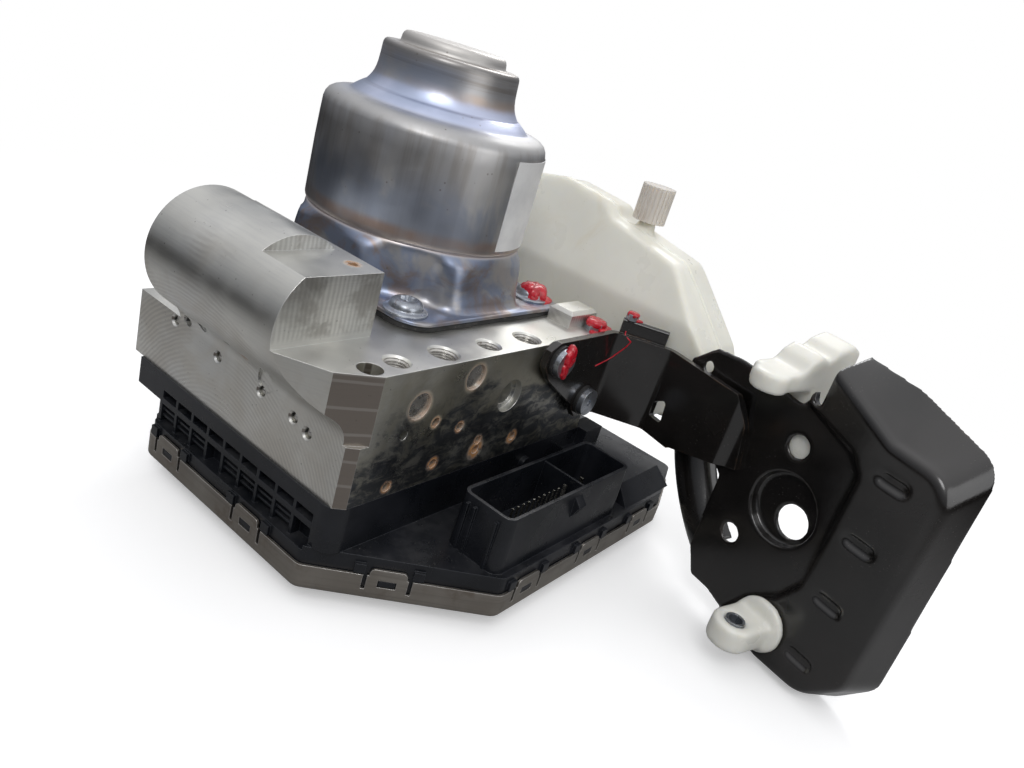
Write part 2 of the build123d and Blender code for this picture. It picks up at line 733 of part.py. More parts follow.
# Solenoid valves
with BuildPart() as valve_cartridges:
    for x, y in valve_places:
        with BuildSketch(Plane(origin=(x, y, above(VALVE_DEPTH - 1)))):
            Circle(VALVE_RADIUS - VALVE_CLEARANCE)
        extrude(amount=1 - VALVE_DEPTH)
        with BuildSketch(Plane(origin=(x, y, BLOCK_UNDER))):
            Circle(VALVE_DOME)
        extrude(amount=-VALVE_REACH)
save(valve_cartridges, "valve_cartridges")

with BuildPart() as solenoid_coils:
    for x, y in valve_places:
        with BuildSketch(Plane(origin=(x, y, BLOCK_UNDER - HOUSING_DECK - COIL_CLEARANCE))):
            Rectangle(COIL_SIZE, COIL_SIZE)
            Circle(VALVE_DOME + COIL_CLEARANCE, mode=Mode.SUBTRACT)
        extrude(amount=-COIL_HEIGHT)
save(solenoid_coils, "solenoid_coils")


# Control housing and cover
def tray_sketch(inset):
    """Outline of the sheet cover, moved in by the inset."""
    with BuildSketch() as outline:
        with BuildLine():
            Polyline(
                (across(COVER_LEFT), behind(COVER_REAR)),
                (across(COVER_LEFT), behind(COVER_FRONT + COVER_CORNER)),
                (across(COVER_LEFT + COVER_CORNER), behind(COVER_FRONT)),
                (across(COVER_RIGHT - 31), behind(COVER_FRONT)),
                (across(COVER_RIGHT), behind(COVER_FRONT + 12)),
                (across(COVER_RIGHT), behind(COVER_REAR)),
                close=True,
            )
        make_face()
        fillet(outline.vertices(), TRAY_ROUND)
        if inset:
            offset(amount=-inset)
    return outline.sketch


def side_plane(x, y, turn):
    """Plane on the cover's side wall at its rim, looking outward in the given direction."""
    outward = Vector(cos(radians(turn)), sin(radians(turn)), 0)
    return Plane(
        origin=(across(x), behind(y), above(COVER_TOP)),
        x_dir=Vector(-outward.Y, outward.X, 0),
        z_dir=outward,
    )


snap_planes = [
    side_plane(COVER_LEFT, 91.5, 180),
    side_plane(COVER_LEFT, 39, 180),
    side_plane(COVER_LEFT + COVER_CORNER / 2 - 3.5, COVER_FRONT + COVER_CORNER / 2 + 3.5, 225),
    side_plane(64.5, COVER_FRONT, 270),
    side_plane(109, COVER_FRONT, 270),
    side_plane(152.5, COVER_FRONT, 270),
    side_plane(COVER_RIGHT, 10, 0),
    side_plane(COVER_RIGHT, 70, 0),
    side_plane(40, COVER_REAR, 90),
    side_plane(150, COVER_REAR, 90),
]

with BuildPart() as control_housing:
    # Flange and plateau
    with BuildSketch(Plane.XY.offset(above(COVER_FLOOR + COVER_GAUGE + 2))):
        add(tray_sketch(COVER_GAUGE + HOUSING_FIT))
    extrude(amount=PLATEAU - COVER_FLOOR - COVER_GAUGE - 2)
    # The part under the block
    with BuildSketch(Plane.XY.offset(above(PLATEAU))) as skirt:
        with Locations((across(HOUSING_LEFT), BLOCK_FRONT)):
            Rectangle(
                HOUSING_RIGHT - HOUSING_LEFT,
                COVER_REAR - HOUSING_WALL,
                align=(Align.MIN, Align.MIN),
            )
        fillet(skirt.vertices().group_by(Axis.X)[0].sort_by(Axis.Y)[0], SKIRT_ROUND)
    extrude(amount=-PLATEAU)
    with BuildSketch(Plane.XY.offset(above(HOUSING_LEDGE))):
        with Locations((across(HOUSING_LEFT), BLOCK_FRONT + SKIRT_ROUND)):
            Rectangle(
                HOUSING_RIGHT - HOUSING_LEFT,
                HOUSING_REAR - SKIRT_ROUND,
                align=(Align.MIN, Align.MIN),
            )
    extrude(amount=-HOUSING_LEDGE)
    # The wing beside the block
    with BuildSketch(Plane.XY.offset(above(PLATEAU))):
        with Locations((across(HOUSING_RIGHT - 10), behind(WING_FRONT_FOOT))):
            Rectangle(
                WING_FOOT - HOUSING_RIGHT + 10,
                COVER_REAR - WING_FRONT_FOOT - 4,
                align=(Align.MIN, Align.MIN),
            )
    with BuildSketch(Plane.XY.offset(above(WING_TOP))):
        with Locations((across(HOUSING_RIGHT - 10), behind(WING_FRONT))):
            Rectangle(
                WING_EDGE - HOUSING_RIGHT + 10,
                COVER_REAR - WING_FRONT - 12,
                align=(Align.MIN, Align.MIN),
            )
    loft()
    with BuildSketch(Plane.XY.offset(above(WING_TOP))):
        with Locations((across(POST_X), BLOCK_FRONT)):
            Rectangle(POST_SIZE + 4, POST_SIZE)
    extrude(amount=-WING_TOP)
    # Connector shroud
    with BuildSketch(Plane.XY.offset(above(SHROUD_RIM))):
        with Locations((across((SHROUD_LEFT + SHROUD_RIGHT) / 2), behind((SHROUD_FRONT + SHROUD_BACK) / 2))):
            RectangleRounded(SHROUD_RIGHT - SHROUD_LEFT, SHROUD_BACK - SHROUD_FRONT, SHROUD_ROUND)
    extrude(amount=PLATEAU - SHROUD_RIM, taper=-2)
    with BuildSketch(Plane.XY.offset(above(PLATEAU))):
        for y in KEY_PLACES:
            with Locations((across(SHROUD_LEFT), behind(y))):
                Rectangle(2 * KEY_RISE, KEY_WIDTH)
    extrude(amount=SHROUD_RIM - PLATEAU - 3)
    with BuildSketch(Plane.YZ.offset(across(LUG_X - LUG_WIDTH / 2))):
        with BuildLine():
            Polyline(
                (behind(SHROUD_FRONT + 0.5), above(3)),
                (behind(SHROUD_FRONT - 3.4), above(-1)),
                (behind(SHROUD_FRONT + 0.5), above(-9)),
                close=True,
            )
        make_face()
    extrude(amount=LUG_WIDTH)
    with BuildSketch(on_front(*NUB_PLACE)):
        Circle(NUB_RADIUS)
    extrude(amount=2)
    # Nubs for the cover's windows, and guides beside its tabs
    for plane in snap_planes:
        with BuildSketch(plane.offset(-COVER_GAUGE - HOUSING_FIT - 1)):
            with Locations((0, -SNAP_WINDOW)):
                Rectangle(SNAP_WIDTH / 2 - 0.8, SNAP_WINDOW - 0.8)
        extrude(amount=COVER_GAUGE + HOUSING_FIT + 0.8)
        with BuildSketch(plane.offset(-COVER_GAUGE - HOUSING_FIT - 1)):
            with Locations((-GUIDE_REACH, 2.4), (GUIDE_REACH, 2.4)):
                Rectangle(GUIDE_WIDTH, 3.8)
        extrude(amount=COVER_GAUGE + HOUSING_FIT + 1)
    # The space for the coils and the board, open below
    with BuildSketch(Plane.XY.offset(above(COVER_FLOOR))):
        add(tray_sketch(COVER_GAUGE + HOUSING_FIT + HOUSING_WALL))
    extrude(amount=PLATEAU - HOUSING_WALL - COVER_FLOOR, mode=Mode.SUBTRACT)
    with BuildSketch(Plane.XY.offset(above(PLATEAU - HOUSING_WALL))):
        with Locations((across(HOUSING_LEFT + WINDOW_DEPTH + 2), behind(HOUSING_WALL))):
            Rectangle(
                HOUSING_RIGHT - HOUSING_LEFT - WINDOW_DEPTH - 2 - HOUSING_WALL,
                COVER_REAR - 3 * HOUSING_WALL,
                align=(Align.MIN, Align.MIN),
            )
    extrude(amount=HOUSING_WALL - PLATEAU - HOUSING_DECK, mode=Mode.SUBTRACT)
    with BuildSketch(Plane.XY.offset(above(-HOUSING_DECK))):
        with Locations(*valve_places):
            Circle(VALVE_DOME + COIL_CLEARANCE)
    extrude(amount=HOUSING_DECK, mode=Mode.SUBTRACT)
    # Connector cavity
    with BuildSketch(Plane.XY.offset(above(SHROUD_RIM))):
        with Locations((across((SHROUD_LEFT + SHROUD_RIGHT) / 2), behind((SHROUD_FRONT + SHROUD_BACK) / 2))):
            RectangleRounded(
                SHROUD_RIGHT - SHROUD_LEFT - 2 * SHROUD_WALL,
                SHROUD_BACK - SHROUD_FRONT - 2 * SHROUD_WALL,
                SHROUD_ROUND - SHROUD_WALL,
            )
    extrude(amount=SHROUD_FLOOR - SHROUD_RIM, mode=Mode.SUBTRACT)
    with BuildSketch(Plane.XY.offset(above(SHROUD_FLOOR))):
        with Locations((across(DIVIDER_X), behind((SHROUD_FRONT + SHROUD_BACK) / 2))):
            Rectangle(DIVIDER_GAUGE, SHROUD_BACK - SHROUD_FRONT - SHROUD_WALL)
    extrude(amount=SHROUD_RIM - SHROUD_FLOOR - 1)
    # Ribbed left side
    with BuildSketch(Plane.XY.offset(above(WINDOW_LOW))):
        with Locations((across(HOUSING_LEFT), behind(WINDOW_FIRST))):
            Rectangle(
                2 * HOUSING_WALL,
                COVER_REAR - WINDOW_FIRST,
                align=(Align.MAX, Align.MIN),
            )
    extrude(amount=PLATEAU - WINDOW_LOW, mode=Mode.SUBTRACT)
    with BuildSketch(Plane.YZ.offset(across(HOUSING_LEFT))):
        for i in range(WINDOW_COUNT):
            y = behind(WINDOW_FIRST + WINDOW_PITCH * i + WINDOW_WIDTH / 2)
            with Locations((y, above((WINDOW_LOW + WINDOW_HIGH) / 2))):
                Rectangle(WINDOW_WIDTH, WINDOW_HIGH - WINDOW_LOW)
            with Locations((y, above((SLOT_LOW + SLOT_HIGH) / 2))):
                Rectangle(WINDOW_WIDTH, SLOT_HIGH - SLOT_LOW)
    extrude(amount=WINDOW_DEPTH, mode=Mode.SUBTRACT)
    with BuildSketch(Plane.YZ.offset(across(HOUSING_LEFT) + WINDOW_DEPTH)):
        for i in range(WINDOW_COUNT):
            y = behind(WINDOW_FIRST + WINDOW_PITCH * i + WINDOW_WIDTH / 2)
            if i not in PLAIN_WINDOWS:
                with Locations(*[(y, above(z)) for z in LOUVRE_PLACES]):
                    Rectangle(WINDOW_WIDTH, LOUVRE_GAUGE)
    extrude(amount=-WINDOW_DEPTH + 1)
save(control_housing, "control_housing")

with BuildPart() as housing_cover:
    with BuildSketch(Plane.XY.offset(above(COVER_FLOOR))):
        add(tray_sketch(0))
    extrude(amount=COVER_TOP - COVER_FLOOR)
    fillet(housing_cover.faces().sort_by(Axis.Z)[0].edges(), TRAY_EDGE)
    with BuildSketch(*[plane.offset(-COVER_GAUGE) for plane in snap_planes]):
        RectangleRounded(SNAP_WIDTH, 2 * SNAP_RISE, SNAP_ROUND)
    extrude(amount=COVER_GAUGE)
    with BuildSketch(Plane.XY.offset(above(COVER_FLOOR + COVER_GAUGE))):
        add(tray_sketch(COVER_GAUGE))
    extrude(amount=COVER_TOP - COVER_FLOOR, mode=Mode.SUBTRACT)
    with BuildSketch(*[plane.offset(-COVER_GAUGE) for plane in snap_planes]):
        with Locations((0, -SNAP_WINDOW)):
            Rectangle(SNAP_WIDTH / 2, SNAP_WINDOW)
        with Locations((-SNAP_WIDTH / 2 - SNAP_SLIT, -SNAP_WINDOW), (SNAP_WIDTH / 2 + SNAP_SLIT, -SNAP_WINDOW)):
            Rectangle(SNAP_SLIT, 2 * SNAP_WINDOW)
    extrude(amount=COVER_GAUGE, mode=Mode.SUBTRACT)
save(housing_cover, "housing_cover")

with BuildPart() as circuit_board:
    with BuildSketch(Plane.XY.offset(above(BOARD_HEIGHT))):
        add(tray_sketch(COVER_GAUGE + HOUSING_FIT + HOUSING_WALL + HOUSING_FIT))
    extrude(amount=BOARD_GAUGE)
save(circuit_board, "circuit_board")

with BuildPart() as connector_pins:
    with BuildSketch(Plane.XY.offset(above(SHROUD_FLOOR))):
        for i in range(PIN_COUNT):
            with Locations((across(PIN_FIRST + PIN_PITCH * i), behind(PIN_ROW))):
                Rectangle(PIN_GAUGE, PIN_GAUGE)
        for x in BLADE_PLACES:
            with Locations((across(x), behind(PIN_ROW))):
                Rectangle(PIN_GAUGE, BLADE_GAUGE)
    extrude(amount=PIN_TIP - SHROUD_FLOOR)
save(connector_pins, "connector_pins")


# Bracket arm
def on_shield(depth):
    """Plane of the shield's face, moved away from the block by the depth."""
    return SHIELD_PLANE.offset(-depth)


ARM_FRONT = -ARM_STAND_OFF - SHEET
ARM_CORNER = (across(ARM_BEND_X), behind(ARM_FRONT))
PLATE_CORNER = (across(PLATE_X), behind(PLATE_Y))
arm_height = ARM_TOP - ARM_FOOT


def arm_point(along, away):
    """Place in plan on the arm's end, by its distance along and away from the block."""
    place = SHIELD_PLANE.origin + SHIELD_ALONG * along + SHIELD_AWAY * away
    return (place.X, place.Y)


arm_middle = (Vector(*PLATE_CORNER) - Vector(*ARM_CORNER)).normalized()
arm_rear = Vector(-arm_middle.Y, arm_middle.X)


def hem_plane(along):
    """Plane across the folded hem on the arm's middle part."""
    place = Vector(*ARM_CORNER) + arm_middle * along + arm_rear * HEM_SETBACK
    return Plane(origin=(place.X, place.Y, BLOCK_UNDER), x_dir=arm_rear, z_dir=arm_middle)


with BuildPart() as bracket_arm:
    # The sheet as it runs in plan
    with BuildSketch(Plane.XY.offset(above(ARM_FOOT))):
        with BuildLine() as arm_line:
            FilletPolyline(
                (across(BUSH_X - BUSH_EAR), behind(ARM_FRONT)),
                ARM_CORNER,
                PLATE_CORNER,
                arm_point(JOGGLE_START, 0),
                arm_point(JOGGLE_END, PANEL_DROP),
                arm_point(ARM_REACH, PANEL_DROP),
                radius=ARM_BEND,
            )
            offset(amount=SHEET, side=Side.LEFT)
        make_face()
    extrude(amount=arm_height)
    # The tab on the port face, cut round its two bushes
    with BuildSketch(on_front(0, 0).offset(SHEET + ARM_STAND_OFF + 1)):
        with BuildLine():
            Polyline(
                (BUSH_X - BUSH_EAR - 1, ARM_TOP + 1),
                (BUSH_X - BUSH_EAR - 1, ARM_FOOT - 1),
                (ARM_BEND_X - 1, ARM_FOOT - 1),
                (LOW_BUSH_X - 2, LOW_BUSH_Z - BUSH_EAR),
                (LOW_BUSH_X - BUSH_EAR, LOW_BUSH_Z - 1),
                (BUSH_X - 3, BUSH_Z - BUSH_EAR),
                (BUSH_X - BUSH_EAR, BUSH_Z - 2),
                (BUSH_X - BUSH_EAR + 1, BUSH_Z + 5),
                (BUSH_X - 3, ARM_TOP - 0.5),
                (BUSH_X, ARM_TOP + 1),
                close=True,
            )
        make_face()
    extrude(amount=-SHEET - 2, mode=Mode.SUBTRACT)
    with Locations(*[on_front(x, z).offset(SHEET + ARM_STAND_OFF) for x, z in bush_places]):
        Hole(BUSH_WAIST + SCREW_CLEARANCE, SHEET)
    # The end that carries the shield
    with BuildSketch(on_shield(-1)):
        with BuildLine():
            Polyline(
                (ARM_REACH + 1, ARM_TOP + 1),
                (40, ARM_TOP + 1),
                (43, 50),
                (48.6, 40),
                (ARM_REACH - 0.5, 22.6),
                (18.3, ARM_FOOT + 1),
                (16, ARM_FOOT - 1),
                (ARM_REACH + 1, ARM_FOOT - 1),
                close=True,
            )
        make_face()
    extrude(amount=-SHEET - PANEL_DROP - 2, mode=Mode.SUBTRACT)
    # Window in the sheet
    with BuildSketch(on_shield(0)):
        with BuildLine():
            FilletPolyline((1, 20), (9, 20), (8, 31), (1, 27), radius=1.5, close=True)
        make_face()
    extrude(amount=-SHEET, mode=Mode.SUBTRACT)
    # Hem folded back over the middle part, with the hole of its bolt
    with BuildSketch(hem_plane(HEM_START)):
        with Locations((SHEET / 2, (ARM_TOP + HEM_TOP) / 2 - 1)):
            RectangleRounded(SHEET, HEM_TOP - ARM_TOP + 2, 1.2)
    extrude(amount=HEM_LENGTH)
    hem_bolt = hem_plane(HEM_BOLT).from_local_coords((SHEET / 2, HEM_TOP, 0))
    with Locations(Plane(origin=hem_bolt)):
        Hole(HEM_BOLT_RADIUS, HEM_TOP - ARM_TOP)
save(bracket_arm, "bracket_arm")

with BuildPart() as flange_bolt:
    with BuildSketch(Plane(origin=hem_bolt)):
        RegularPolygon(HEM_BOLT_HEAD, 6)
    extrude(amount=HEM_BOLT_HEAD)
    with BuildSketch(Plane(origin=hem_bolt)):
        Circle(HEM_BOLT_RADIUS - SEAL_CLEARANCE)
    extrude(amount=ARM_TOP - HEM_TOP + 1)
save(flange_bolt, "flange_bolt")

with BuildPart() as bush_rubbers:
    for x, z in bush_places:
        with BuildSketch(on_front(x, z)):
            Circle(BUSH_FLANGE)
        extrude(amount=ARM_STAND_OFF - SEAL_CLEARANCE)
        with BuildSketch(on_front(x, z)):
            Circle(BUSH_WAIST)
        extrude(amount=2 * ARM_STAND_OFF + SHEET)
        with BuildSketch(on_front(x, z).offset(ARM_STAND_OFF + SHEET + SEAL_CLEARANCE)):
            Circle(BUSH_FLANGE)
        extrude(amount=ARM_STAND_OFF - SEAL_CLEARANCE)
        with BuildSketch(on_front(x, z)):
            Circle(BUSH_BORE + SEAL_CLEARANCE)
        extrude(amount=2 * ARM_STAND_OFF + SHEET, mode=Mode.SUBTRACT)
save(bush_rubbers, "bush_rubbers")

with BuildPart() as bush_screws:
    for x, z in bush_places:
        with BuildSketch(on_front(x, z).offset(2 * ARM_STAND_OFF + SHEET)):
            Circle(BUSH_HEAD)
        extrude(amount=BUSH_HEAD_HEIGHT)
        with BuildSketch(on_front(x, z).offset(2 * ARM_STAND_OFF + SHEET)):
            Circle(BUSH_BORE - SEAL_CLEARANCE)
        extrude(amount=-SCREW_DEPTH)
        with BuildSketch(on_front(x, z).offset(2 * ARM_STAND_OFF + SHEET + BUSH_HEAD_HEIGHT)):
            Circle(1.6)
        extrude(amount=-1.2, mode=Mode.SUBTRACT)
save(bush_screws, "bush_screws")

with BuildPart() as deck_bolt:
    with BuildSketch(on_deck(*DECK_BOLT)):
        RegularPolygon(DECK_BOLT_RADIUS + 1.8, 6)
    extrude(amount=4)
    with BuildSketch(on_deck(*DECK_BOLT)):
        Circle(DECK_BOLT_RADIUS - SEAL_CLEARANCE)
    extrude(amount=-DECK_BOLT_DEPTH)
save(deck_bolt, "deck_bolt")


# Shield
SHIELD_FACE = SHEET


def pan_front(inset, reach):
    """Outline of the shield's face, moved in by the inset, its open side moved out by the reach."""
    with BuildSketch() as outline:
        with BuildLine():
            Polyline(
                (74 - reach, 82 - inset),
                (105, 68.5 - inset),
                (131 - inset, 67 - inset),
                (131 - inset, -25 + inset),
                (117 - inset, -40 + inset),
                (95, -41 + inset),
                (74 - reach, -38 + inset),
                close=True,
            )
        make_face()
        fillet(outline.vertices().sort_by(Axis.X)[-3:], PAN_CORNER - inset)
    return outline.sketch


def pan_rear(inset, reach):
    """Outline of the shield's open rear."""
    with BuildSketch() as outline:
        with BuildLine():
            Polyline(
                (74 - reach, 87 - inset),
                (98, 85 - inset),
                (134 - inset, 74 - inset),
                (136 - inset, -24 + inset),
                (122 - inset, -42 + inset),
                (95, -43 + inset),
                (74 - reach, -39 + inset),
                close=True,
            )
        make_face()
        fillet(outline.vertices().sort_by(Axis.X)[-3:], PAN_CORNER - inset)
    return outline.sketch


def pan(inset, reach, beyond):
    """The drawn form of the shield with its rounded front edge, or with an inset the space in it."""
    with BuildPart() as body:
        for depth, draw_in in PAN_EDGE:
            with BuildSketch(on_shield(SHIELD_FACE + inset + depth)):
                add(pan_front(inset + draw_in, reach))
        with BuildSketch(on_shield(SHIELD_FACE + SHIELD_DEPTH + beyond)):
            add(pan_rear(inset, reach))
        loft(ruled=True)
    return body.part


def panel_outline(grow):
    """The sunk field of the shield, open towards the arm."""
    with BuildSketch() as outline:
        with BuildLine():
            Polyline(
                (0, 80),
                (66, 80),
                (69, 64),
                (93, 56.5),
                (99, 50),
                (99, 0),
                (92, -12),
                (80, -22),
                (64, -46),
                (0, -46),
                close=True,
            )
        make_face()
        fillet(outline.vertices().sort_by(Axis.X)[-4:], 4)
        if grow:
            offset(amount=grow)
    return outline.sketch


PANEL_FACE = SHIELD_FACE + PANEL_DROP
pan_outside = pan(0, 0, 0)
pan_inside = pan(SHIELD_GAUGE, 30, 1)
with BuildPart() as bracket_shield:
    add(pan_outside)
    add(pan_inside, mode=Mode.SUBTRACT)
    with BuildSketch(on_shield(SHIELD_FACE)):
        with BuildLine():
            Polyline(
                (7.4, 52.5),
                (18.6, 62.8),
                (33.3, 64.5),
                (65.5, 61.5),
                (73, 76),
                (80, 72),
                (112, 62),
                (112, -30),
                (76, -37),
                (61, -33),
                (51, -33),
                (44.6, -21.4),
                (44, 14.6),
                (38, 18.6),
                (18, 20.6),
                (7.4, 22),
                close=True,
            )
        make_face()
        add(panel_outline(SHIELD_GAUGE), mode=Mode.INTERSECT)
    extrude(amount=-PANEL_DROP - SHIELD_GAUGE)
    # The field between the arm and the raised rim is sunk, with a cup drawn into it
    with BuildSketch(on_shield(SHIELD_FACE)):
        add(panel_outline(0))
    extrude(amount=-PANEL_DROP, mode=Mode.SUBTRACT)
    with BuildSketch(on_shield(PANEL_FACE + SHIELD_GAUGE)):
        with Locations((CUP_U, CUP_Z)):
            Circle(CUP_RADIUS + SHIELD_GAUGE)
    extrude(amount=-CUP_DROP)
    with BuildSketch(on_shield(PANEL_FACE)):
        with Locations((CUP_U, CUP_Z)):
            Circle(CUP_RADIUS)
    extrude(amount=-CUP_DROP, mode=Mode.SUBTRACT)
    # Stiffening beads
    bead_places = [(BEAD_U, BEAD_TOP - BEAD_PITCH * i) for i in range(BEAD_COUNT)]
    with BuildSketch(on_shield(SHIELD_FACE + SHIELD_GAUGE)):
        with Locations(*bead_places):
            SlotOverall(BEAD_LENGTH + SHIELD_GAUGE, BEAD_WIDTH + SHIELD_GAUGE)
    extrude(amount=-BEAD_DROP)
    with BuildSketch(on_shield(SHIELD_FACE)):
        with Locations(*bead_places):
            SlotOverall(BEAD_LENGTH, BEAD_WIDTH)
    extrude(amount=-BEAD_DROP, taper=30, mode=Mode.SUBTRACT)
    # Holes
    with BuildSketch(on_shield(SHIELD_FACE)):
        for u, z, radius in SHIELD_HOLES:
            with Locations((u, z)):
                Circle(radius)
        with Locations(PAD_PLACE):
            Circle(PAD_STEM + SPACER_GAP)
    extrude(amount=-SHIELD_DEPTH, mode=Mode.SUBTRACT)
save(bracket_shield, "bracket_shield")

STRUT_SEAT = PANEL_FACE + SHIELD_GAUGE + STRUT_RADIUS + SPACER_GAP
with BuildPart() as bracket_strut:
    with BuildLine() as strut_line:
        ThreePointArc(
            on_shield(STRUT_SEAT).from_local_coords((14, 26, 0)),
            on_shield(STRUT_SEAT).from_local_coords((25, 4, 0)),
            on_shield(STRUT_SEAT).from_local_coords((49, -21, 0)),
        )
    strut_start = strut_line.line % 0
    with BuildSketch(Plane(origin=strut_line.line @ 0, x_dir=-SHIELD_AWAY, z_dir=strut_start)):
        Circle(STRUT_RADIUS)
        Circle(STRUT_RADIUS - SHIELD_GAUGE, mode=Mode.SUBTRACT)
        with Locations((-STRUT_RADIUS, 0)):
            Rectangle(2 * STRUT_RADIUS, 4 * STRUT_RADIUS, mode=Mode.SUBTRACT)
    sweep(path=strut_line.line)
save(bracket_strut, "bracket_strut")


# Spacer with its ears
def beside_shield(along):
    """Plane across the shield at a place along it: its X runs away from the block, its Y up."""
    return Plane(
        origin=SHIELD_PLANE.origin + SHIELD_ALONG * along,
        x_dir=SHIELD_AWAY,
        z_dir=SHIELD_ALONG,
    )


def ear_axis(along):
    """Place in plan of the upright axis of an ear."""
    place = beside_shield(along).from_local_coords((-EAR_REACH, 0, 0))
    return (place.X, place.Y)


SPACER_FACE = PANEL_FACE + SHIELD_GAUGE + SPACER_GAP
with BuildPart() as shield_spacer:
    with BuildSketch(on_shield(SPACER_FACE)):
        with BuildLine():
            Polyline(
                (56, 60),
                (76, 60),
                (100, 60),
                (118, 58),
                (122, -22),
                (108, -33),
                (70, -30),
                (68, 12),
                (56, 20),
                close=True,
            )
        make_face()
        with Locations((CUP_U, CUP_Z)):
            Circle(CUP_RADIUS + SHIELD_GAUGE + SPACER_GAP, mode=Mode.SUBTRACT)
    extrude(amount=-SPACER_DEPTH)
    # The upper ear lies over the edge of the sheet
    with BuildSketch(beside_shield(TOP_EAR_U - TOP_EAR_WIDTH / 2)):
        with BuildLine():
            Polyline(
                (-EAR_REACH, TOP_EAR_Z),
                (-EAR_REACH, TOP_EAR_Z - EAR_THICKNESS + 3),
                (0, 66.5),
                (SPACER_FACE, 66.5),
                (SPACER_FACE, 56),
                (SPACER_FACE + SPACER_DEPTH, 56),
                (30, 74),
                (30, 84),
                (24, 87),
                (16, 84),
                (12, 80),
                (6, 82),
                (1, 79),
                (-2, TOP_EAR_Z + 1),
                close=True,
            )
        make_face()
    extrude(amount=TOP_EAR_WIDTH - 4)
    with BuildSketch(Plane.XY.offset(above(TOP_EAR_Z - EAR_THICKNESS + 3))):
        with Locations(ear_axis(TOP_EAR_U)):
            Circle(EAR_RADIUS - 1.5)
    extrude(amount=EAR_THICKNESS - 3)
    # The lower ear comes through the sheet
    low_ear = ear_axis(LOW_EAR_U)
    with BuildSketch(on_shield(0)):
        with Locations(PAD_PLACE):
            Circle(PAD_STEM)
    extrude(amount=-SPACER_FACE)
    with BuildSketch(on_shield(-PAD_RISE)):
        with Locations(PAD_PLACE):
            Circle(PAD_RADIUS)
    extrude(amount=-PAD_RISE - SHIELD_FACE + SPACER_GAP)
    with BuildSketch(Plane.XY.offset(above(LOW_EAR_Z - EAR_THICKNESS))):
        with Locations(low_ear):
            Circle(EAR_RADIUS)
    extrude(amount=EAR_THICKNESS)
    with BuildSketch(on_shield(2)):
        with Locations((LOW_EAR_U, LOW_EAR_Z - EAR_THICKNESS / 2)):
            Rectangle(2 * EAR_RADIUS, EAR_THICKNESS)
    extrude(amount=EAR_REACH + 2)
    with BuildSketch(Plane.XY.offset(above(LOW_EAR_Z - EAR_THICKNESS))):
        with Locations(low_ear):
            Circle(SLEEVE_RADIUS)
    extrude(amount=EAR_THICKNESS, mode=Mode.SUBTRACT)
save(shield_spacer, "shield_spacer")

with BuildPart() as ear_sleeve:
    with BuildSketch(Plane.XY.offset(above(LOW_EAR_Z - EAR_THICKNESS))):
        with Locations(low_ear):
            Circle(SLEEVE_RADIUS - SLEEVE_CLEARANCE)
            Circle(SLEEVE_BORE, mode=Mode.SUBTRACT)
    extrude(amount=EAR_THICKNESS)
save(ear_sleeve, "ear_sleeve")


# Reservoir
def tank_outline(grow):
    """Side outline of the tank."""
    with BuildSketch() as outline:
        with BuildLine():
            Polyline(
                (behind(-26), above(TANK_BOTTOM)),
                (behind(-28), above(38)),
                (behind(-44), above(47)),
                (behind(-39), above(56)),
                (behind(-9), above(85)),
                (behind(32), above(93)),
                (behind(37), above(98)),
                (behind(66), above(101)),
                (behind(86), above(97)),
                (behind(97), above(88)),
                (behind(97), above(TANK_BOTTOM)),
                close=True,
            )
        make_face()
        fillet(outline.vertices().filter_by_position(Axis.Y, above(TANK_BOTTOM + 1), above(200)), TANK_ROUND)
        if grow:
            offset(amount=grow, kind=Kind.INTERSECTION)
    return outline.sketch


def tank_body(inset):
    """The whole tank, or with an inset the space inside it."""
    with BuildPart() as body:
        with BuildSketch(Plane.YZ.offset(across(TANK_LEFT + inset))):
            add(tank_outline(-inset))
        extrude(amount=TANK_RIGHT - TANK_LEFT - 2 * inset)
        with BuildSketch(Plane.XZ.offset(BLOCK_FRONT)):
            with BuildLine():
                Polyline(
                    (across(TANK_LEFT - 1 + inset), above(64)),
                    (across(TANK_LEFT + inset), above(64)),
                    (across(TANK_LEFT + 16 + inset), above(104)),
                    (across(TANK_LEFT - 1 + inset), above(104)),
                    close=True,
                )
            make_face()
        extrude(amount=2 * BLOCK_DEPTH, both=True, mode=Mode.SUBTRACT)
    return body.part


def tank_half(side):
    """One welded half of the tank. The side is -1 towards the block and 1 away from it."""
    with BuildPart() as half:
        add(tank_outside)
        with BuildSketch(Plane.YZ.offset(across(TANK_SEAM))):
            add(tank_outline(SEAM_RISE))
        extrude(amount=side * SEAM_GAUGE)
        add(tank_inside, mode=Mode.SUBTRACT)
        split(bisect_by=Plane.YZ.offset(across(TANK_SEAM)), keep=Keep.TOP if side > 0 else Keep.BOTTOM)
        if side < 0:
            with BuildSketch(*spigot_planes):
                Circle(SPIGOT_RADIUS)
            extrude(amount=TANK_LEFT - BLOCK_LENGTH + GROMMET_DEPTH)
        else:
            with BuildSketch(Plane.XY.offset(above(NECK_TOP))):
                with Locations((across(NECK_X), behind(NECK_Y))):
                    Circle(NECK_RADIUS)
            extrude(amount=-8)
    return half


spigot_planes = [plane.offset(1 - GROMMET_DEPTH) for plane in inlet_planes]
tank_outside = tank_body(0)
tank_inside = tank_body(TANK_WALL)
save(tank_half(-1), "reservoir_front_half")
save(tank_half(1), "reservoir_rear_half")

with BuildPart() as reservoir_cap:
    with BuildSketch(Plane.XY.offset(above(NECK_TOP))):
        with Locations((across(NECK_X), behind(NECK_Y))):
            Circle(PORT_CAP_RADIUS - 0.5)
            with PolarLocations(PORT_CAP_RADIUS - 0.6, PORT_CAP_RIBS):
                Rectangle(1.2, 0.9)
    extrude(amount=PORT_CAP_HEIGHT)
save(reservoir_cap, "reservoir_cap")

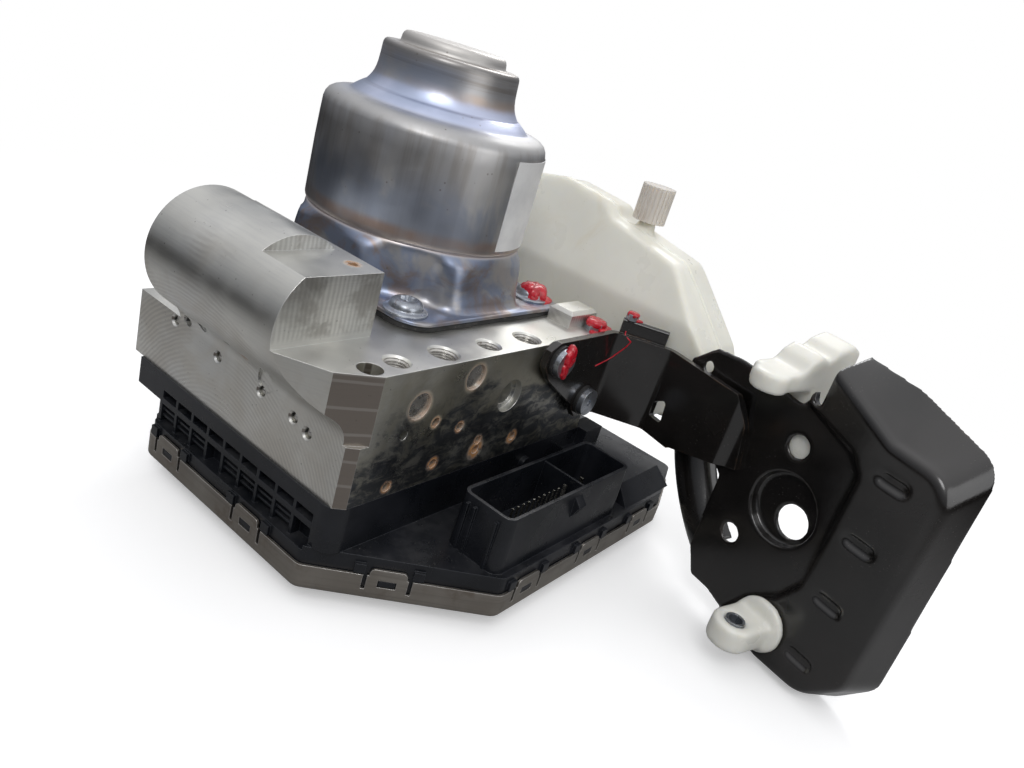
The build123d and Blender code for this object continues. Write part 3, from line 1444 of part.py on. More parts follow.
with BuildPart() as reservoir_grommets:
    with BuildSketch(*inlet_planes):
        Circle(GROMMET_RADIUS - SEAL_CLEARANCE)
        Circle(SPIGOT_RADIUS + SEAL_CLEARANCE, mode=Mode.SUBTRACT)
    extrude(amount=1 - GROMMET_DEPTH)
save(reservoir_grommets, "reservoir_grommets")
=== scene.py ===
import bpy
import bmesh
import json
import math
from mathutils import Matrix, Vector, noise


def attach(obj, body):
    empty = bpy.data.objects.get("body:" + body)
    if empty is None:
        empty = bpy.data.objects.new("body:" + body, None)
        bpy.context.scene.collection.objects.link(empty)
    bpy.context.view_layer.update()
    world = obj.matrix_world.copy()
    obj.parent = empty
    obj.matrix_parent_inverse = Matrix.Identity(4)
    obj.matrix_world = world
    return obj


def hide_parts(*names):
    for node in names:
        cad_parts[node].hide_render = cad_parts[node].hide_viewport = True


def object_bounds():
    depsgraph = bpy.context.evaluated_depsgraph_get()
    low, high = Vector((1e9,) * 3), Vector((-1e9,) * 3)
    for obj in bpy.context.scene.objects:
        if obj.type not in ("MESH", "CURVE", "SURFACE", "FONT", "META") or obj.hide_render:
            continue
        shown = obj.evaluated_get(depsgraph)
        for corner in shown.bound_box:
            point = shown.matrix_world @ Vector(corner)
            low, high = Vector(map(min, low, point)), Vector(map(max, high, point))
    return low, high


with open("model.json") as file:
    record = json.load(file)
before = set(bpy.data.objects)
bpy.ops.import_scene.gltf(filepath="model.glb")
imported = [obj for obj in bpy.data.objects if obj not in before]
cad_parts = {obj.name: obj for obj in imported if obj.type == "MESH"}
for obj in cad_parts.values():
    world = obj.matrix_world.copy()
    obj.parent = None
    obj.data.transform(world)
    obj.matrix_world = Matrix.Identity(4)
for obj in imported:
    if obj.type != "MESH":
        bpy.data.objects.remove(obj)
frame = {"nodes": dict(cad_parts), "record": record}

cad_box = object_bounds()
MM = 0.001

# The block's corner in the part's frame, in millimetres
BLOCK_X, BLOCK_Y, BLOCK_Z = -6.8, -100.8, -54.9
DECK_Z = BLOCK_Z + 50
MOTOR_X, MOTOR_Y = BLOCK_X + 89.1, BLOCK_Y + 77.4

# The motor's flange and its screws, from the motor's axis
FLANGE_HALF_X, FLANGE_HALF_Y, FLANGE_CORNER = 50, 52.85, 12
FLANGE_SHIFT_X, FLANGE_SHIFT_Y = 1.9, -2.25
FLANGE_UNDER, FLANGE_TOP = 2.3, 4.0
SCREW_ASIDE, SCREW_FRONT, SCREW_REAR = 39.8, -42, 39
SCREW_SPOTS = [(side * SCREW_ASIDE, depth) for side in (-1, 1) for depth in (SCREW_FRONT, SCREW_REAR)]

# The arm's bend in block coordinates, the way it runs on from there and the way its face looks
BEND_X, BEND_Y = 145.5, -4.5
ARM_ALONG = Vector((0.485, -0.875, 0))
ARM_OUT = Vector((-0.875, -0.485, 0))

# The shield lies along one of these directions and faces the other
TURN = math.radians(18)
AWAY = Vector((math.cos(TURN), -math.sin(TURN), 0))
ALONG = Vector((-math.sin(TURN), -math.cos(TURN), 0))


def block(x, y, z):
    """A place in block coordinates, in the part's frame in millimetres."""
    return Vector((BLOCK_X + x, BLOCK_Y + y, BLOCK_Z + z))


# Materials
class Shader:
    """A material with short names for the nodes it is made of."""

    def __init__(self, name):
        self.material = bpy.data.materials.new(name)
        self.material.use_nodes = True
        self.tree = self.material.node_tree
        self.bsdf = self.tree.nodes["Principled BSDF"]
        coords = self.node("ShaderNodeTexCoord")
        self.place = coords.outputs["Object"]
        self.geometry = self.node("ShaderNodeNewGeometry")

    def node(self, kind, **settings):
        made = self.tree.nodes.new(kind)
        for key, value in settings.items():
            setattr(made, key, value)
        return made

    def link(self, value, socket):
        if isinstance(value, bpy.types.NodeSocket):
            self.tree.links.new(value, socket)
        elif isinstance(value, (tuple, list)) and len(value) == 3 and socket.type == "RGBA":
            socket.default_value = (*value, 1)
        else:
            socket.default_value = value

    def set(self, **values):
        for key, value in values.items():
            self.link(value, self.bsdf.inputs[key.replace("_", " ")])

    def math(self, operation, a, b=0.0, clamp=False):
        made = self.node("ShaderNodeMath", operation=operation, use_clamp=clamp)
        self.link(a, made.inputs[0])
        self.link(b, made.inputs[1])
        return made.outputs[0]

    def mix(self, share, a, b, blend="MIX"):
        made = self.node("ShaderNodeMix", data_type="RGBA", blend_type=blend, clamp_factor=True)
        self.link(share, made.inputs[0])
        self.link(a, made.inputs[6])
        self.link(b, made.inputs[7])
        return made.outputs[2]

    def times(self, *shares):
        """The product of several shares."""
        product = shares[0]
        for share in shares[1:]:
            product = self.math("MULTIPLY", product, share)
        return product

    def over(self, tone, colour, *shares):
        """The tone with a colour laid over it, as far as the product of the shares goes."""
        return self.mix(self.times(*shares), tone, colour)

    def spread(self, value, low, high, to_low=0.0, to_high=1.0):
        made = self.node("ShaderNodeMapRange", clamp=True, interpolation_type="SMOOTHSTEP")
        for index, part in enumerate((value, low, high, to_low, to_high)):
            self.link(part, made.inputs[index])
        return made.outputs[0]

    def stretch(self, scale, turn=(0, 0, 0)):
        made = self.node("ShaderNodeMapping")
        self.link(self.place, made.inputs["Vector"])
        made.inputs["Scale"].default_value = scale
        made.inputs["Rotation"].default_value = turn
        return made.outputs[0]

    def noise(self, scale, detail=4.0, rough=0.55, bend=0.0, vector=None):
        made = self.node("ShaderNodeTexNoise")
        self.link(vector or self.place, made.inputs["Vector"])
        made.inputs["Scale"].default_value = scale
        made.inputs["Detail"].default_value = detail
        made.inputs["Roughness"].default_value = rough
        made.inputs["Distortion"].default_value = bend
        return made.outputs[0]

    def specks(self, scale, size, vector=None):
        """Small round specks: 1 inside, 0 outside."""
        made = self.node("ShaderNodeTexVoronoi")
        self.link(vector or self.place, made.inputs["Vector"])
        made.inputs["Scale"].default_value = scale
        return self.spread(made.outputs["Distance"], size, size * 0.5)

    def part(self, axis, vector=None):
        made = self.node("ShaderNodeSeparateXYZ")
        self.link(vector or self.place, made.inputs[0])
        return made.outputs["XYZ".index(axis)]

    def near(self, place, radius, soft):
        """1 within the radius of a place in millimetres, falling to 0 over the soft width."""
        made = self.node("ShaderNodeVectorMath", operation="DISTANCE")
        self.link(self.place, made.inputs[0])
        made.inputs[1].default_value = [v * MM for v in place]
        return self.spread(made.outputs["Value"], (radius + soft) * MM, radius * MM)

    def edges(self, radius, low=0.02, high=0.25):
        """1 on the solid's edges."""
        rounded = self.node("ShaderNodeBevel", samples=4)
        rounded.inputs["Radius"].default_value = radius * MM
        dot = self.node("ShaderNodeVectorMath", operation="DOT_PRODUCT")
        self.link(rounded.outputs[0], dot.inputs[0])
        self.link(self.geometry.outputs["Normal"], dot.inputs[1])
        return self.spread(self.math("SUBTRACT", 1.0, dot.outputs["Value"]), low, high)

    def soft_edges(self, radius):
        """The normal with the edges rounded off."""
        rounded = self.node("ShaderNodeBevel", samples=6)
        rounded.inputs["Radius"].default_value = radius * MM
        return rounded.outputs[0]

    def facing(self, direction, low=0.9, high=0.98):
        """1 where the surface looks in the direction."""
        dot = self.node("ShaderNodeVectorMath", operation="DOT_PRODUCT")
        self.link(self.geometry.outputs["Normal"], dot.inputs[0])
        dot.inputs[1].default_value = Vector(direction).normalized()
        return self.spread(dot.outputs["Value"], low, high)

    def band(self, axis, low, high, soft):
        """1 between two heights in millimetres along an axis."""
        value = self.part(axis)
        rise = self.spread(value, (low - soft) * MM, (low + soft) * MM)
        fall = self.spread(value, (high + soft) * MM, (high - soft) * MM)
        return self.math("MULTIPLY", rise, fall)

    def waves(self, value, pitch, sway=0.0):
        """A sine wave over a length, with a pitch in millimetres, bent by noise."""
        turns = self.math("MULTIPLY", value, 2 * math.pi / (pitch * MM))
        if sway:
            turns = self.math("ADD", turns, self.math("MULTIPLY", self.noise(60, 3), sway))
        return self.spread(self.math("SINE", turns), -1.0, 1.0)

    def upward(self, low=0.5, high=0.95):
        return self.spread(self.part("Z", self.geometry.outputs["Normal"]), low, high)

    def bump(self, height, depth, strength=1.0, normal=None):
        made = self.node("ShaderNodeBump")
        made.inputs["Strength"].default_value = strength
        made.inputs["Distance"].default_value = depth * MM
        self.link(height, made.inputs["Height"])
        if normal is not None:
            self.link(normal, made.inputs["Normal"])
        return made.outputs[0]


def milled_aluminium():
    s = Shader("milled_aluminium")
    normal_y = s.facing((0, -1, 0), 0.7, 0.95)
    left = s.facing((-1, 0, 0), 0.6, 0.9)
    fine = s.noise(260, 6, 0.65)
    tone = s.mix(s.spread(s.noise(22, 3), 0.35, 0.7), (0.71, 0.705, 0.665), (0.88, 0.87, 0.82))
    tone = s.mix(
        s.spread(s.noise(9, 2, vector=s.stretch((1, 1.4, 0.7))), 0.5, 0.75, 0, 0.3),
        tone,
        (0.62, 0.67, 0.76),
    )
    grain = s.noise(1.0, 5, 0.6, vector=s.stretch((60, 60, 1500)))
    tone = s.mix(s.spread(grain, 0.42, 0.7, 0, 0.2), tone, (0.50, 0.50, 0.51))
    # Warm smears and the cutter's arcs on the left face
    tone = s.over(
        tone, (0.60, 0.56, 0.49), left, s.spread(s.noise(34, 5, 0.6, 0.5), 0.42, 0.66, 0.1, 0.6),
    )
    centre = s.node("ShaderNodeVectorMath", operation="DISTANCE")
    s.link(s.place, centre.inputs[0])
    centre.inputs[1].default_value = block(0, 70, -34) * MM
    arcs = s.waves(centre.outputs["Value"], 1.7, 11)
    tone = s.over(tone, (0.42, 0.40, 0.37), left, arcs, s.spread(s.noise(30, 3), 0.42, 0.6, 0, 0.36))
    # Upright cutter marks on the lobe's end face
    lobe_end = s.math("MULTIPLY", normal_y, s.spread(s.part("Z"), (DECK_Z + 1) * MM, (DECK_Z + 4) * MM))
    upright = s.waves(s.part("X"), 1.9, 9)
    tone = s.over(tone, (0.42, 0.41, 0.38), lobe_end, upright, 0.36)
    blotch = s.spread(s.noise(75, 4, 0.6, 0.4), 0.45, 0.62, 0, 0.55)
    tone = s.over(tone, (0.34, 0.32, 0.29), lobe_end, blotch)
    # Blue-black and brown stains low on the port face
    port_face = s.times(
        s.facing((0, -1, 0), 0.9, 0.97), s.spread(s.part("Z"), (DECK_Z + 0.5) * MM, (DECK_Z - 1) * MM),
    )
    low = s.spread(s.part("Z"), (DECK_Z - 4) * MM, (DECK_Z - 34) * MM, 0.0, 1.0)
    patch = s.math("ADD", s.noise(20, 6, 0.62, 0.6, s.stretch((1, 1, 1.6))), s.math("MULTIPLY", low, 0.17))
    streaky = s.noise(1.0, 6, 0.7, 0.8, s.stretch((90, 90, 210), (0, 0.5, 0)))
    veil = s.math("MULTIPLY", port_face, s.spread(s.noise(24, 5, 0.65, 0.4), 0.36, 0.6, 0.25, 0.8))
    tone = s.mix(veil, tone, (0.50, 0.47, 0.36))
    stain = s.math("MULTIPLY", port_face, s.spread(patch, 0.54, 0.66))
    stain = s.math("MULTIPLY", stain, s.spread(streaky, 0.36, 0.56, 0.25, 1))
    tone = s.over(tone, (0.06, 0.072, 0.10), stain, 0.84)
    bits = s.times(port_face, low, s.spread(s.noise(160, 5, 0.75), 0.52, 0.60))
    tone = s.over(tone, (0.07, 0.075, 0.09), bits, 0.6)
    # Painted brown reflection on the facets of the front corner, with pale lines across it where the facets
    # step
    corner = s.facing((-0.61, -0.79, 0), 0.95, 0.985)
    corner_reflection = s.math("MULTIPLY", corner, s.spread(s.part("Z"), (DECK_Z + 1) * MM, (DECK_Z - 1) * MM))
    tone = s.over(tone, (0.17, 0.135, 0.11), corner_reflection, 0.86)
    seams = s.math("MULTIPLY", corner_reflection, s.spread(s.waves(s.part("Z"), 9.5, 0.6), 0.994, 1.0, 0, 0.6))
    tone = s.mix(seams, tone, (0.42, 0.39, 0.36))
    pits = s.math("MULTIPLY", s.specks(420, 0.16), s.spread(fine, 0.5, 0.62))
    tone = s.over(tone, (0.16, 0.14, 0.12), pits, 0.55)
    # Rust round the drillings
    rust = None
    spots = [(18.4, 35.8, 73.8, 2.0), (28.4, -0.2, 35.2, 3.6), (56, -0.2, 42.1, 3.6), (21.4, -0.2, 4.1, 1.7),
             (44.1, -0.2, 7.8, 2.0), (69, -0.2, 7.7, 2.8), (92.9, -0.2, 8.1, 2.2), (39.4, -0.2, 26.6, 1.7),
             (54.4, -0.2, 21.3, 1.7), (69, -0.2, 12, 1.7), (-1, 58.3, 35.1, 3.0)]
    for x, y, z, radius in spots:
        spot = s.near(block(x, y, z), radius, radius)
        rust = spot if rust is None else s.math("MAXIMUM", rust, spot)
    rust = s.math("MULTIPLY", rust, s.spread(s.noise(330, 5, 0.7), 0.30, 0.52))
    rusty = s.mix(s.noise(500, 3), (0.62, 0.26, 0.04), (0.24, 0.11, 0.035))
    tone = s.over(tone, rusty, rust, 0.85)
    bright = s.edges(0.45, 0.03, 0.3)
    tone = s.over(tone, (0.88, 0.88, 0.88), bright, 0.6)
    rough = s.spread(s.noise(45, 4), 0.3, 0.7, 0.27, 0.42)
    rough = s.math("ADD", rough, s.math("MULTIPLY", rust, 0.4), True)
    s.set(Base_Color=tone, Roughness=rough, Metallic=s.math("SUBTRACT", 0.94, s.math("MULTIPLY", rust, 0.8)))
    height = s.math("ADD", s.math("MULTIPLY", grain, 0.7), s.math("MULTIPLY", fine, 0.3))
    height = s.math("ADD", height, s.math("MULTIPLY", s.math("MULTIPLY", lobe_end, upright), 0.5))
    s.set(Normal=s.bump(height, 0.06, 0.5, s.soft_edges(0.35)))
    return s.material


def can_metal():
    s = Shader("can_metal")
    side = s.band("Z", DECK_Z + 26, DECK_Z + 69, 1)
    tone = s.mix(s.spread(s.noise(18, 4, 0.6, 0.6), 0.32, 0.68), (0.47, 0.465, 0.47), (0.62, 0.61, 0.60))
    streaks = s.noise(1.0, 6, 0.65, 0.2, s.stretch((170, 170, 6)))
    tone = s.over(tone, (0.38, 0.345, 0.31), side, s.spread(streaks, 0.44, 0.66, 0, 0.5))
    pale = s.noise(1.0, 4, 0.6, 0.2, s.stretch((60, 60, 5)))
    tone = s.over(tone, (0.62, 0.63, 0.66), side, s.spread(pale, 0.56, 0.72, 0, 0.5))
    # Painted blue reflection low on the side; on the foot a darker grey, bronze and more painted blue
    # reflection
    cloud = s.noise(24, 4, 0.6, 1.2, s.stretch((1, 1, 0.6)))
    middle = s.times(s.band("Z", DECK_Z + 26, DECK_Z + 50, 9), s.spread(cloud, 0.42, 0.60, 0, 0.7))
    tone = s.mix(middle, tone, (0.29, 0.34, 0.45))
    foot = s.spread(s.part("Z"), (DECK_Z + 27) * MM, (DECK_Z + 24) * MM)
    tone = s.over(tone, (0.37, 0.355, 0.355), foot, 0.75)
    tone = s.over(
        tone, (0.22, 0.28, 0.42), foot, s.spread(s.noise(34, 4, 0.6, 1.0), 0.40, 0.58, 0, 0.75),
    )
    tone = s.over(tone, (0.30, 0.22, 0.17), foot, s.spread(s.noise(48, 5, 0.6, 0.8), 0.50, 0.64, 0, 0.7))
    line = s.band("Z", DECK_Z + 25.3, DECK_Z + 27.6, 0.6)
    tone = s.over(tone, (0.60, 0.52, 0.48), line, 0.6)
    warm = s.band("Z", DECK_Z + 27.6, DECK_Z + 32, 1.6)
    tone = s.over(tone, (0.42, 0.24, 0.13), warm, s.spread(s.noise(30, 3), 0.4, 0.6, 0.1, 0.6))
    # Pale matt shoulder ring, and a painted lavender highlight on the cone
    ring = s.band("Z", DECK_Z + 67.5, DECK_Z + 71.6, 0.8)
    tone = s.over(tone, (0.50, 0.50, 0.50), ring, 0.6)
    cone = s.band("Z", DECK_Z + 72, DECK_Z + 80, 1.0)
    tone = s.over(tone, (0.70, 0.76, 0.98), cone, 0.85)
    # Painted shade in the small step of the cone
    hollow_shade = s.band("Z", DECK_Z + 75.2, DECK_Z + 76.2, 0.3)
    tone = s.over(tone, (0.42, 0.44, 0.56), hollow_shade, 0.5)
    copper = s.band("Z", DECK_Z + 79, DECK_Z + 83, 1.4)
    tone = s.over(tone, (0.50, 0.37, 0.28), copper, s.spread(s.noise(36, 4), 0.42, 0.58, 0.1, 0.6))
    # Brown drawing marks on the cap, and a painted blue reflection on one side of the cone and cap
    cap = s.spread(s.part("Z"), (DECK_Z + 82) * MM, (DECK_Z + 86) * MM)
    marks = s.noise(1.0, 5, 0.65, 0.3, s.stretch((14, 14, 700)))
    tone = s.over(tone, (0.34, 0.30, 0.26), cap, s.spread(marks, 0.42, 0.62, 0.1, 0.65))
    blue_reflection = s.times(
        s.spread(s.part("X"), (MOTOR_X - 8) * MM, (MOTOR_X - 27) * MM),
        s.band("Z", DECK_Z + 72, DECK_Z + 90, 3),
    )
    tone = s.over(tone, (0.34, 0.41, 0.56), blue_reflection, s.spread(s.noise(40, 3), 0.35, 0.6, 0.15, 0.6))
    rim = s.band("Z", DECK_Z + 90.6, DECK_Z + 92.6, 0.6)
    tone = s.over(tone, (0.22, 0.21, 0.20), rim, 0.7)
    top = s.spread(s.part("Z"), (DECK_Z + 92.8) * MM, (DECK_Z + 94) * MM)
    tone = s.over(tone, (0.66, 0.64, 0.61), top, 0.8)
    dirt = s.math("MULTIPLY", s.specks(260, 0.13), s.spread(s.noise(60, 3), 0.5, 0.62))
    tone = s.over(tone, (0.16, 0.12, 0.10), dirt, 0.5)
    rough = s.spread(s.noise(30, 5, 0.6), 0.3, 0.7, 0.31, 0.45)
    rough = s.math("ADD", rough, s.math("MULTIPLY", ring, 0.2))
    rough = s.math("ADD", rough, s.math("MULTIPLY", top, 0.16))
    s.set(Base_Color=tone, Roughness=rough, Metallic=0.92)
    fine = s.noise(1.0, 4, 0.6, 0, s.stretch((500, 500, 60)))
    s.set(Normal=s.bump(s.math("ADD", s.math("MULTIPLY", fine, 0.5), s.noise(70, 3)), 0.08, 0.35))
    return s.material


def plated_steel(name, colour, rough):
    s = Shader(name)
    tone = s.mix(s.spread(s.noise(150, 4), 0.35, 0.7), colour, [v * 0.72 for v in colour])
    dark = s.spread(s.noise(420, 5, 0.7), 0.55, 0.68, 0, 0.6)
    tone = s.mix(dark, tone, (0.17, 0.13, 0.10))
    tone = s.over(tone, (0.82, 0.82, 0.82), s.edges(0.3), 0.5)
    s.set(Base_Color=tone, Metallic=0.9, Roughness=s.spread(s.noise(200, 3), 0.3, 0.7, rough, rough + 0.16))
    s.set(Normal=s.bump(s.noise(700, 4), 0.03, 0.5, s.soft_edges(0.25)))
    return s.material


def black_plastic():
    s = Shader("housing_plastic")
    tone = s.mix(s.spread(s.noise(30, 4), 0.35, 0.7), (0.005, 0.006, 0.008), (0.013, 0.014, 0.018))
    dusty = s.times(s.upward(0.35, 0.9), s.spread(s.noise(55, 6, 0.7), 0.42, 0.68, 0.02, 0.30))
    tone = s.mix(dusty, tone, (0.075, 0.075, 0.078))
    specks = s.math("MULTIPLY", s.specks(520, 0.14), s.upward(0.2, 0.9))
    tone = s.over(tone, (0.26, 0.25, 0.24), specks, 0.22)
    # Painted bluish highlight along the edges
    tone = s.over(tone, (0.075, 0.085, 0.105), s.edges(0.3, 0.03, 0.3), 0.45)
    rough = s.spread(s.noise(60, 4), 0.3, 0.7, 0.22, 0.38)
    s.set(Base_Color=tone, Roughness=s.math("ADD", rough, s.math("MULTIPLY", dusty, 0.3)))
    s.set(Specular_IOR_Level=0.42)
    s.set(Normal=s.bump(s.noise(2400, 3), 0.03, 0.5, s.soft_edges(0.4)))
    return s.material


def black_paint():
    s = Shader("bracket_paint")
    tone = s.mix(s.spread(s.noise(26, 4), 0.35, 0.7), (0.006, 0.0055, 0.005), (0.015, 0.013, 0.012))
    haze = s.spread(s.noise(20, 5, 0.65, 0.5), 0.56, 0.78, 0, 0.3)
    tone = s.mix(haze, tone, (0.035, 0.038, 0.046))
    dust = s.math("MULTIPLY", s.specks(700, 0.14), s.spread(s.noise(40, 3), 0.46, 0.62, 0.0, 0.6))
    tone = s.over(tone, (0.22, 0.20, 0.18), dust, 0.35)
    brown = s.math("MULTIPLY", s.spread(s.noise(60, 5, 0.7), 0.46, 0.64), s.edges(1.6, 0.01, 0.2))
    tone = s.over(tone, (0.10, 0.055, 0.028), brown, 0.7)
    worn = s.math("MULTIPLY", s.edges(0.3, 0.06, 0.35), s.spread(s.noise(180, 4), 0.44, 0.6))
    tone = s.over(tone, (0.20, 0.19, 0.18), worn, 0.55)
    # Painted light: faces that look along AWAY, the shield's narrow side face, are drawn lighter
    side = s.facing(AWAY, 0.6, 0.95)
    tone = s.over(tone, (0.045, 0.040, 0.036), side, s.spread(s.noise(30, 5, 0.6), 0.3, 0.6, 0.5, 1.0))
    rough = s.spread(s.noise(34, 4), 0.3, 0.75, 0.13, 0.30)
    s.set(Base_Color=tone, Roughness=s.math("ADD", rough, s.math("MULTIPLY", dust, 0.25)))
    s.set(Specular_IOR_Level=0.62, Coat_Weight=0.5, Coat_Roughness=0.16)
    height = s.math("ADD", s.noise(320, 3), s.math("MULTIPLY", s.noise(90, 2), 1.6))
    s.set(Normal=s.bump(height, 0.05, 0.4, s.soft_edges(0.4)))
    return s.material


def cover_sheet():
    s = Shader("cover_metal")
    tone = s.mix(s.spread(s.noise(28, 4), 0.35, 0.7), (0.26, 0.235, 0.205), (0.36, 0.335, 0.30))
    streak = s.noise(1.0, 5, 0.6, 0, s.stretch((12, 12, 700)))
    tone = s.mix(s.spread(streak, 0.45, 0.7, 0, 0.4), tone, (0.17, 0.155, 0.14))
    grime = s.math("MULTIPLY", s.spread(s.noise(70, 5, 0.7), 0.52, 0.68), 0.5)
    tone = s.mix(grime, tone, (0.16, 0.12, 0.09))
    # Painted highlight along the edges
    tone = s.over(tone, (0.78, 0.77, 0.75), s.edges(0.45, 0.03, 0.25), 0.8)
    s.set(Base_Color=tone, Metallic=0.88, Roughness=s.spread(s.noise(50, 4), 0.3, 0.7, 0.30, 0.46))
    s.set(Normal=s.bump(streak, 0.04, 0.4, s.soft_edges(0.4)))
    return s.material


def soft_plastic(name, colour, stain, milky):
    s = Shader(name)
    tone = s.mix(s.spread(s.noise(24, 4), 0.3, 0.7), colour, [v * 0.93 for v in colour])
    tone = s.mix(s.spread(s.noise(38, 5, 0.65, 0.8), 0.55, 0.75, 0, 0.5), tone, stain)
    grime = s.math("MULTIPLY", s.specks(380, 0.10), s.spread(s.noise(90, 3), 0.5, 0.64))
    tone = s.over(tone, (0.35, 0.30, 0.22), grime, 0.35)
    s.set(Base_Color=tone, Roughness=s.spread(s.noise(45, 4), 0.3, 0.7, 0.26, 0.42))
    s.set(Subsurface_Weight=milky, Subsurface_Scale=0.004, Subsurface_Radius=(1.0, 0.9, 0.7))
    s.set(Normal=s.bump(s.math("ADD", s.noise(500, 4), s.math("MULTIPLY", s.noise(60, 2), 2)), 0.04, 0.4))
    return s.material


def rubber(name):
    s = Shader(name)
    tone = s.mix(s.spread(s.noise(120, 4), 0.35, 0.7), (0.012, 0.012, 0.012), (0.035, 0.034, 0.033))
    dust = s.math("MULTIPLY", s.specks(600, 0.2), 0.35)
    s.set(Base_Color=s.mix(dust, tone, (0.25, 0.23, 0.20)))
    s.set(Roughness=s.spread(s.noise(90, 3), 0.3, 0.7, 0.5, 0.72))
    s.set(Normal=s.bump(s.noise(1200, 3), 0.04, 0.6, s.soft_edges(0.3)))
    return s.material


def red_paint():
    s = Shader("red_marking_paint")
    tone = s.mix(s.spread(s.noise(400, 4), 0.35, 0.7), (0.58, 0.006, 0.022), (0.40, 0.004, 0.014))
    s.set(Base_Color=tone, Roughness=s.spread(s.noise(300, 3), 0.3, 0.7, 0.2, 0.34), Coat_Weight=0.5)
    s.set(Normal=s.bump(s.noise(420, 3, 0.5, 0.4), 0.08, 0.5))
    return s.material


def plain_label():
    s = Shader("plain_label")
    tone = s.mix(s.spread(s.noise(60, 4), 0.35, 0.7), (0.80, 0.80, 0.79), (0.66, 0.66, 0.66))
    tone = s.over(tone, (0.45, 0.42, 0.38), s.specks(300, 0.12), 0.3)
    s.set(Base_Color=tone, Roughness=s.spread(s.noise(90, 3), 0.3, 0.7, 0.34, 0.5))
    s.set(Normal=s.bump(s.noise(500, 3), 0.02, 0.5))
    return s.material


def plain(name, colour, rough, metal=0.0, scale=160):
    """Pieces inside the housings."""
    s = Shader(name)
    tone = s.mix(s.spread(s.noise(scale, 4), 0.35, 0.7), colour, [v * 0.7 for v in colour])
    s.set(Base_Color=tone, Metallic=metal)
    s.set(Roughness=s.spread(s.noise(scale * 2, 3), 0.3, 0.7, rough, rough + 0.15))
    s.set(Normal=s.bump(s.noise(scale * 5, 3), 0.03, 0.5))
    return s.material


looks = {
    "block_metal": milled_aluminium(),
    "can_metal": can_metal(),
    "screw_metal": plated_steel("screw_metal", (0.46, 0.49, 0.54), 0.24),
    "ball_metal": plated_steel("ball_metal", (0.66, 0.64, 0.60), 0.2),
    "drive_steel": plated_steel("drive_steel", (0.50, 0.50, 0.51), 0.28),
    "housing_plastic": black_plastic(),
    "cover_metal": cover_sheet(),
    "bracket_paint": black_paint(),
    "ear_plastic": soft_plastic("ear_plastic", (0.85, 0.84, 0.77), (0.72, 0.68, 0.56), 0.35),
    "tank_plastic": soft_plastic("tank_plastic", (0.88, 0.86, 0.76), (0.77, 0.71, 0.57), 0.5),
    "cap_plastic": soft_plastic("cap_plastic", (0.80, 0.75, 0.68), (0.60, 0.53, 0.45), 0.25),
    "gasket_rubber": rubber("gasket_rubber"),
    "seal_rubber": rubber("seal_rubber"),
    "pin_metal": plain("pin_metal", (0.72, 0.70, 0.62), 0.2, 1.0, 500),
    "board": plain("board", (0.05, 0.20, 0.09), 0.4),
    "coil": plain("coil", (0.04, 0.04, 0.045), 0.45),
    "winding": plain("winding", (0.42, 0.22, 0.10), 0.35, 0.8),
}
RED = red_paint()
LABEL = plain_label()
for entry in frame["record"]["subparts"]:
    node = frame["nodes"][entry["node"]]
    node.data.materials.clear()
    node.data.materials.append(looks[entry["material_slot"]])


# Mesh tools
def piece_from(name, mesh, material, body="unit", stands_for=()):
    """Puts a mesh into the scene as a piece of the unit."""
    made = bpy.data.objects.new(name, mesh)
    bpy.context.scene.collection.objects.link(made)
    mesh.materials.clear()
    mesh.materials.append(material)
    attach(made, body)
    if stands_for:
        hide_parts(*stands_for)
    return made


def mesh_from(name, points, faces, smooth=True):
    mesh = bpy.data.meshes.new(name)
    mesh.from_pydata([tuple(v * MM for v in point) for point in points], [], faces)
    mesh.validate()
    made = bmesh.new()
    made.from_mesh(mesh)
    bmesh.ops.recalc_face_normals(made, faces=made.faces)
    made.to_mesh(mesh)
    made.free()
    if smooth:
        mesh.shade_smooth()
    return mesh


def rings_to_faces(rings, closed_ends=True):
    """Points and faces of a skin through rings that have the same number of points."""
    count = len(rings[0])
    points = [point for ring in rings for point in ring]
    faces = []
    for row in range(len(rings) - 1):
        for i in range(count):
            j = (i + 1) % count
            faces.append((row * count + i, row * count + j, (row + 1) * count + j, (row + 1) * count + i))
    if closed_ends:
        faces.append(tuple(range(count)))
        faces.append(tuple(range(len(points) - count, len(points))))
    return points, faces


def sharpen(mesh, degrees=35):
    mesh.set_sharp_from_angle(angle=math.radians(degrees))


def softened(name, node, voxel, passes, axes, slot):
    """A copy of a CAD node with its edges rounded: remeshed finely in its own axes, then smoothed."""
    source = frame["nodes"][node]
    mesh = source.data.copy()
    grow = 1000
    turn = axes.to_4x4() if axes else Matrix.Identity(4)
    mesh.transform(Matrix.Scale(grow, 4) @ turn.inverted())
    work = bmesh.new()
    work.from_mesh(mesh)
    bmesh.ops.remove_doubles(work, verts=work.verts, dist=0.002)
    work.to_mesh(mesh)
    work.free()
    piece = bpy.data.objects.new(name + "_work", mesh)
    bpy.context.scene.collection.objects.link(piece)
    remesh = piece.modifiers.new("remesh", "REMESH")
    remesh.mode = "VOXEL"
    remesh.voxel_size = voxel
    smooth = piece.modifiers.new("smooth", "SMOOTH")
    smooth.factor = 0.5
    smooth.iterations = passes
    bpy.context.view_layer.update()
    done = bpy.data.meshes.new_from_object(piece.evaluated_get(bpy.context.evaluated_depsgraph_get()))
    bpy.data.objects.remove(piece)
    done.name = name
    done.transform(turn @ Matrix.Scale(1 / grow, 4))
    done.shade_smooth()
    return piece_from(name, done, looks[slot], stands_for=(node,))


# Motor can
CAN_SIDES = 240
LOBE_HALF = 23.4


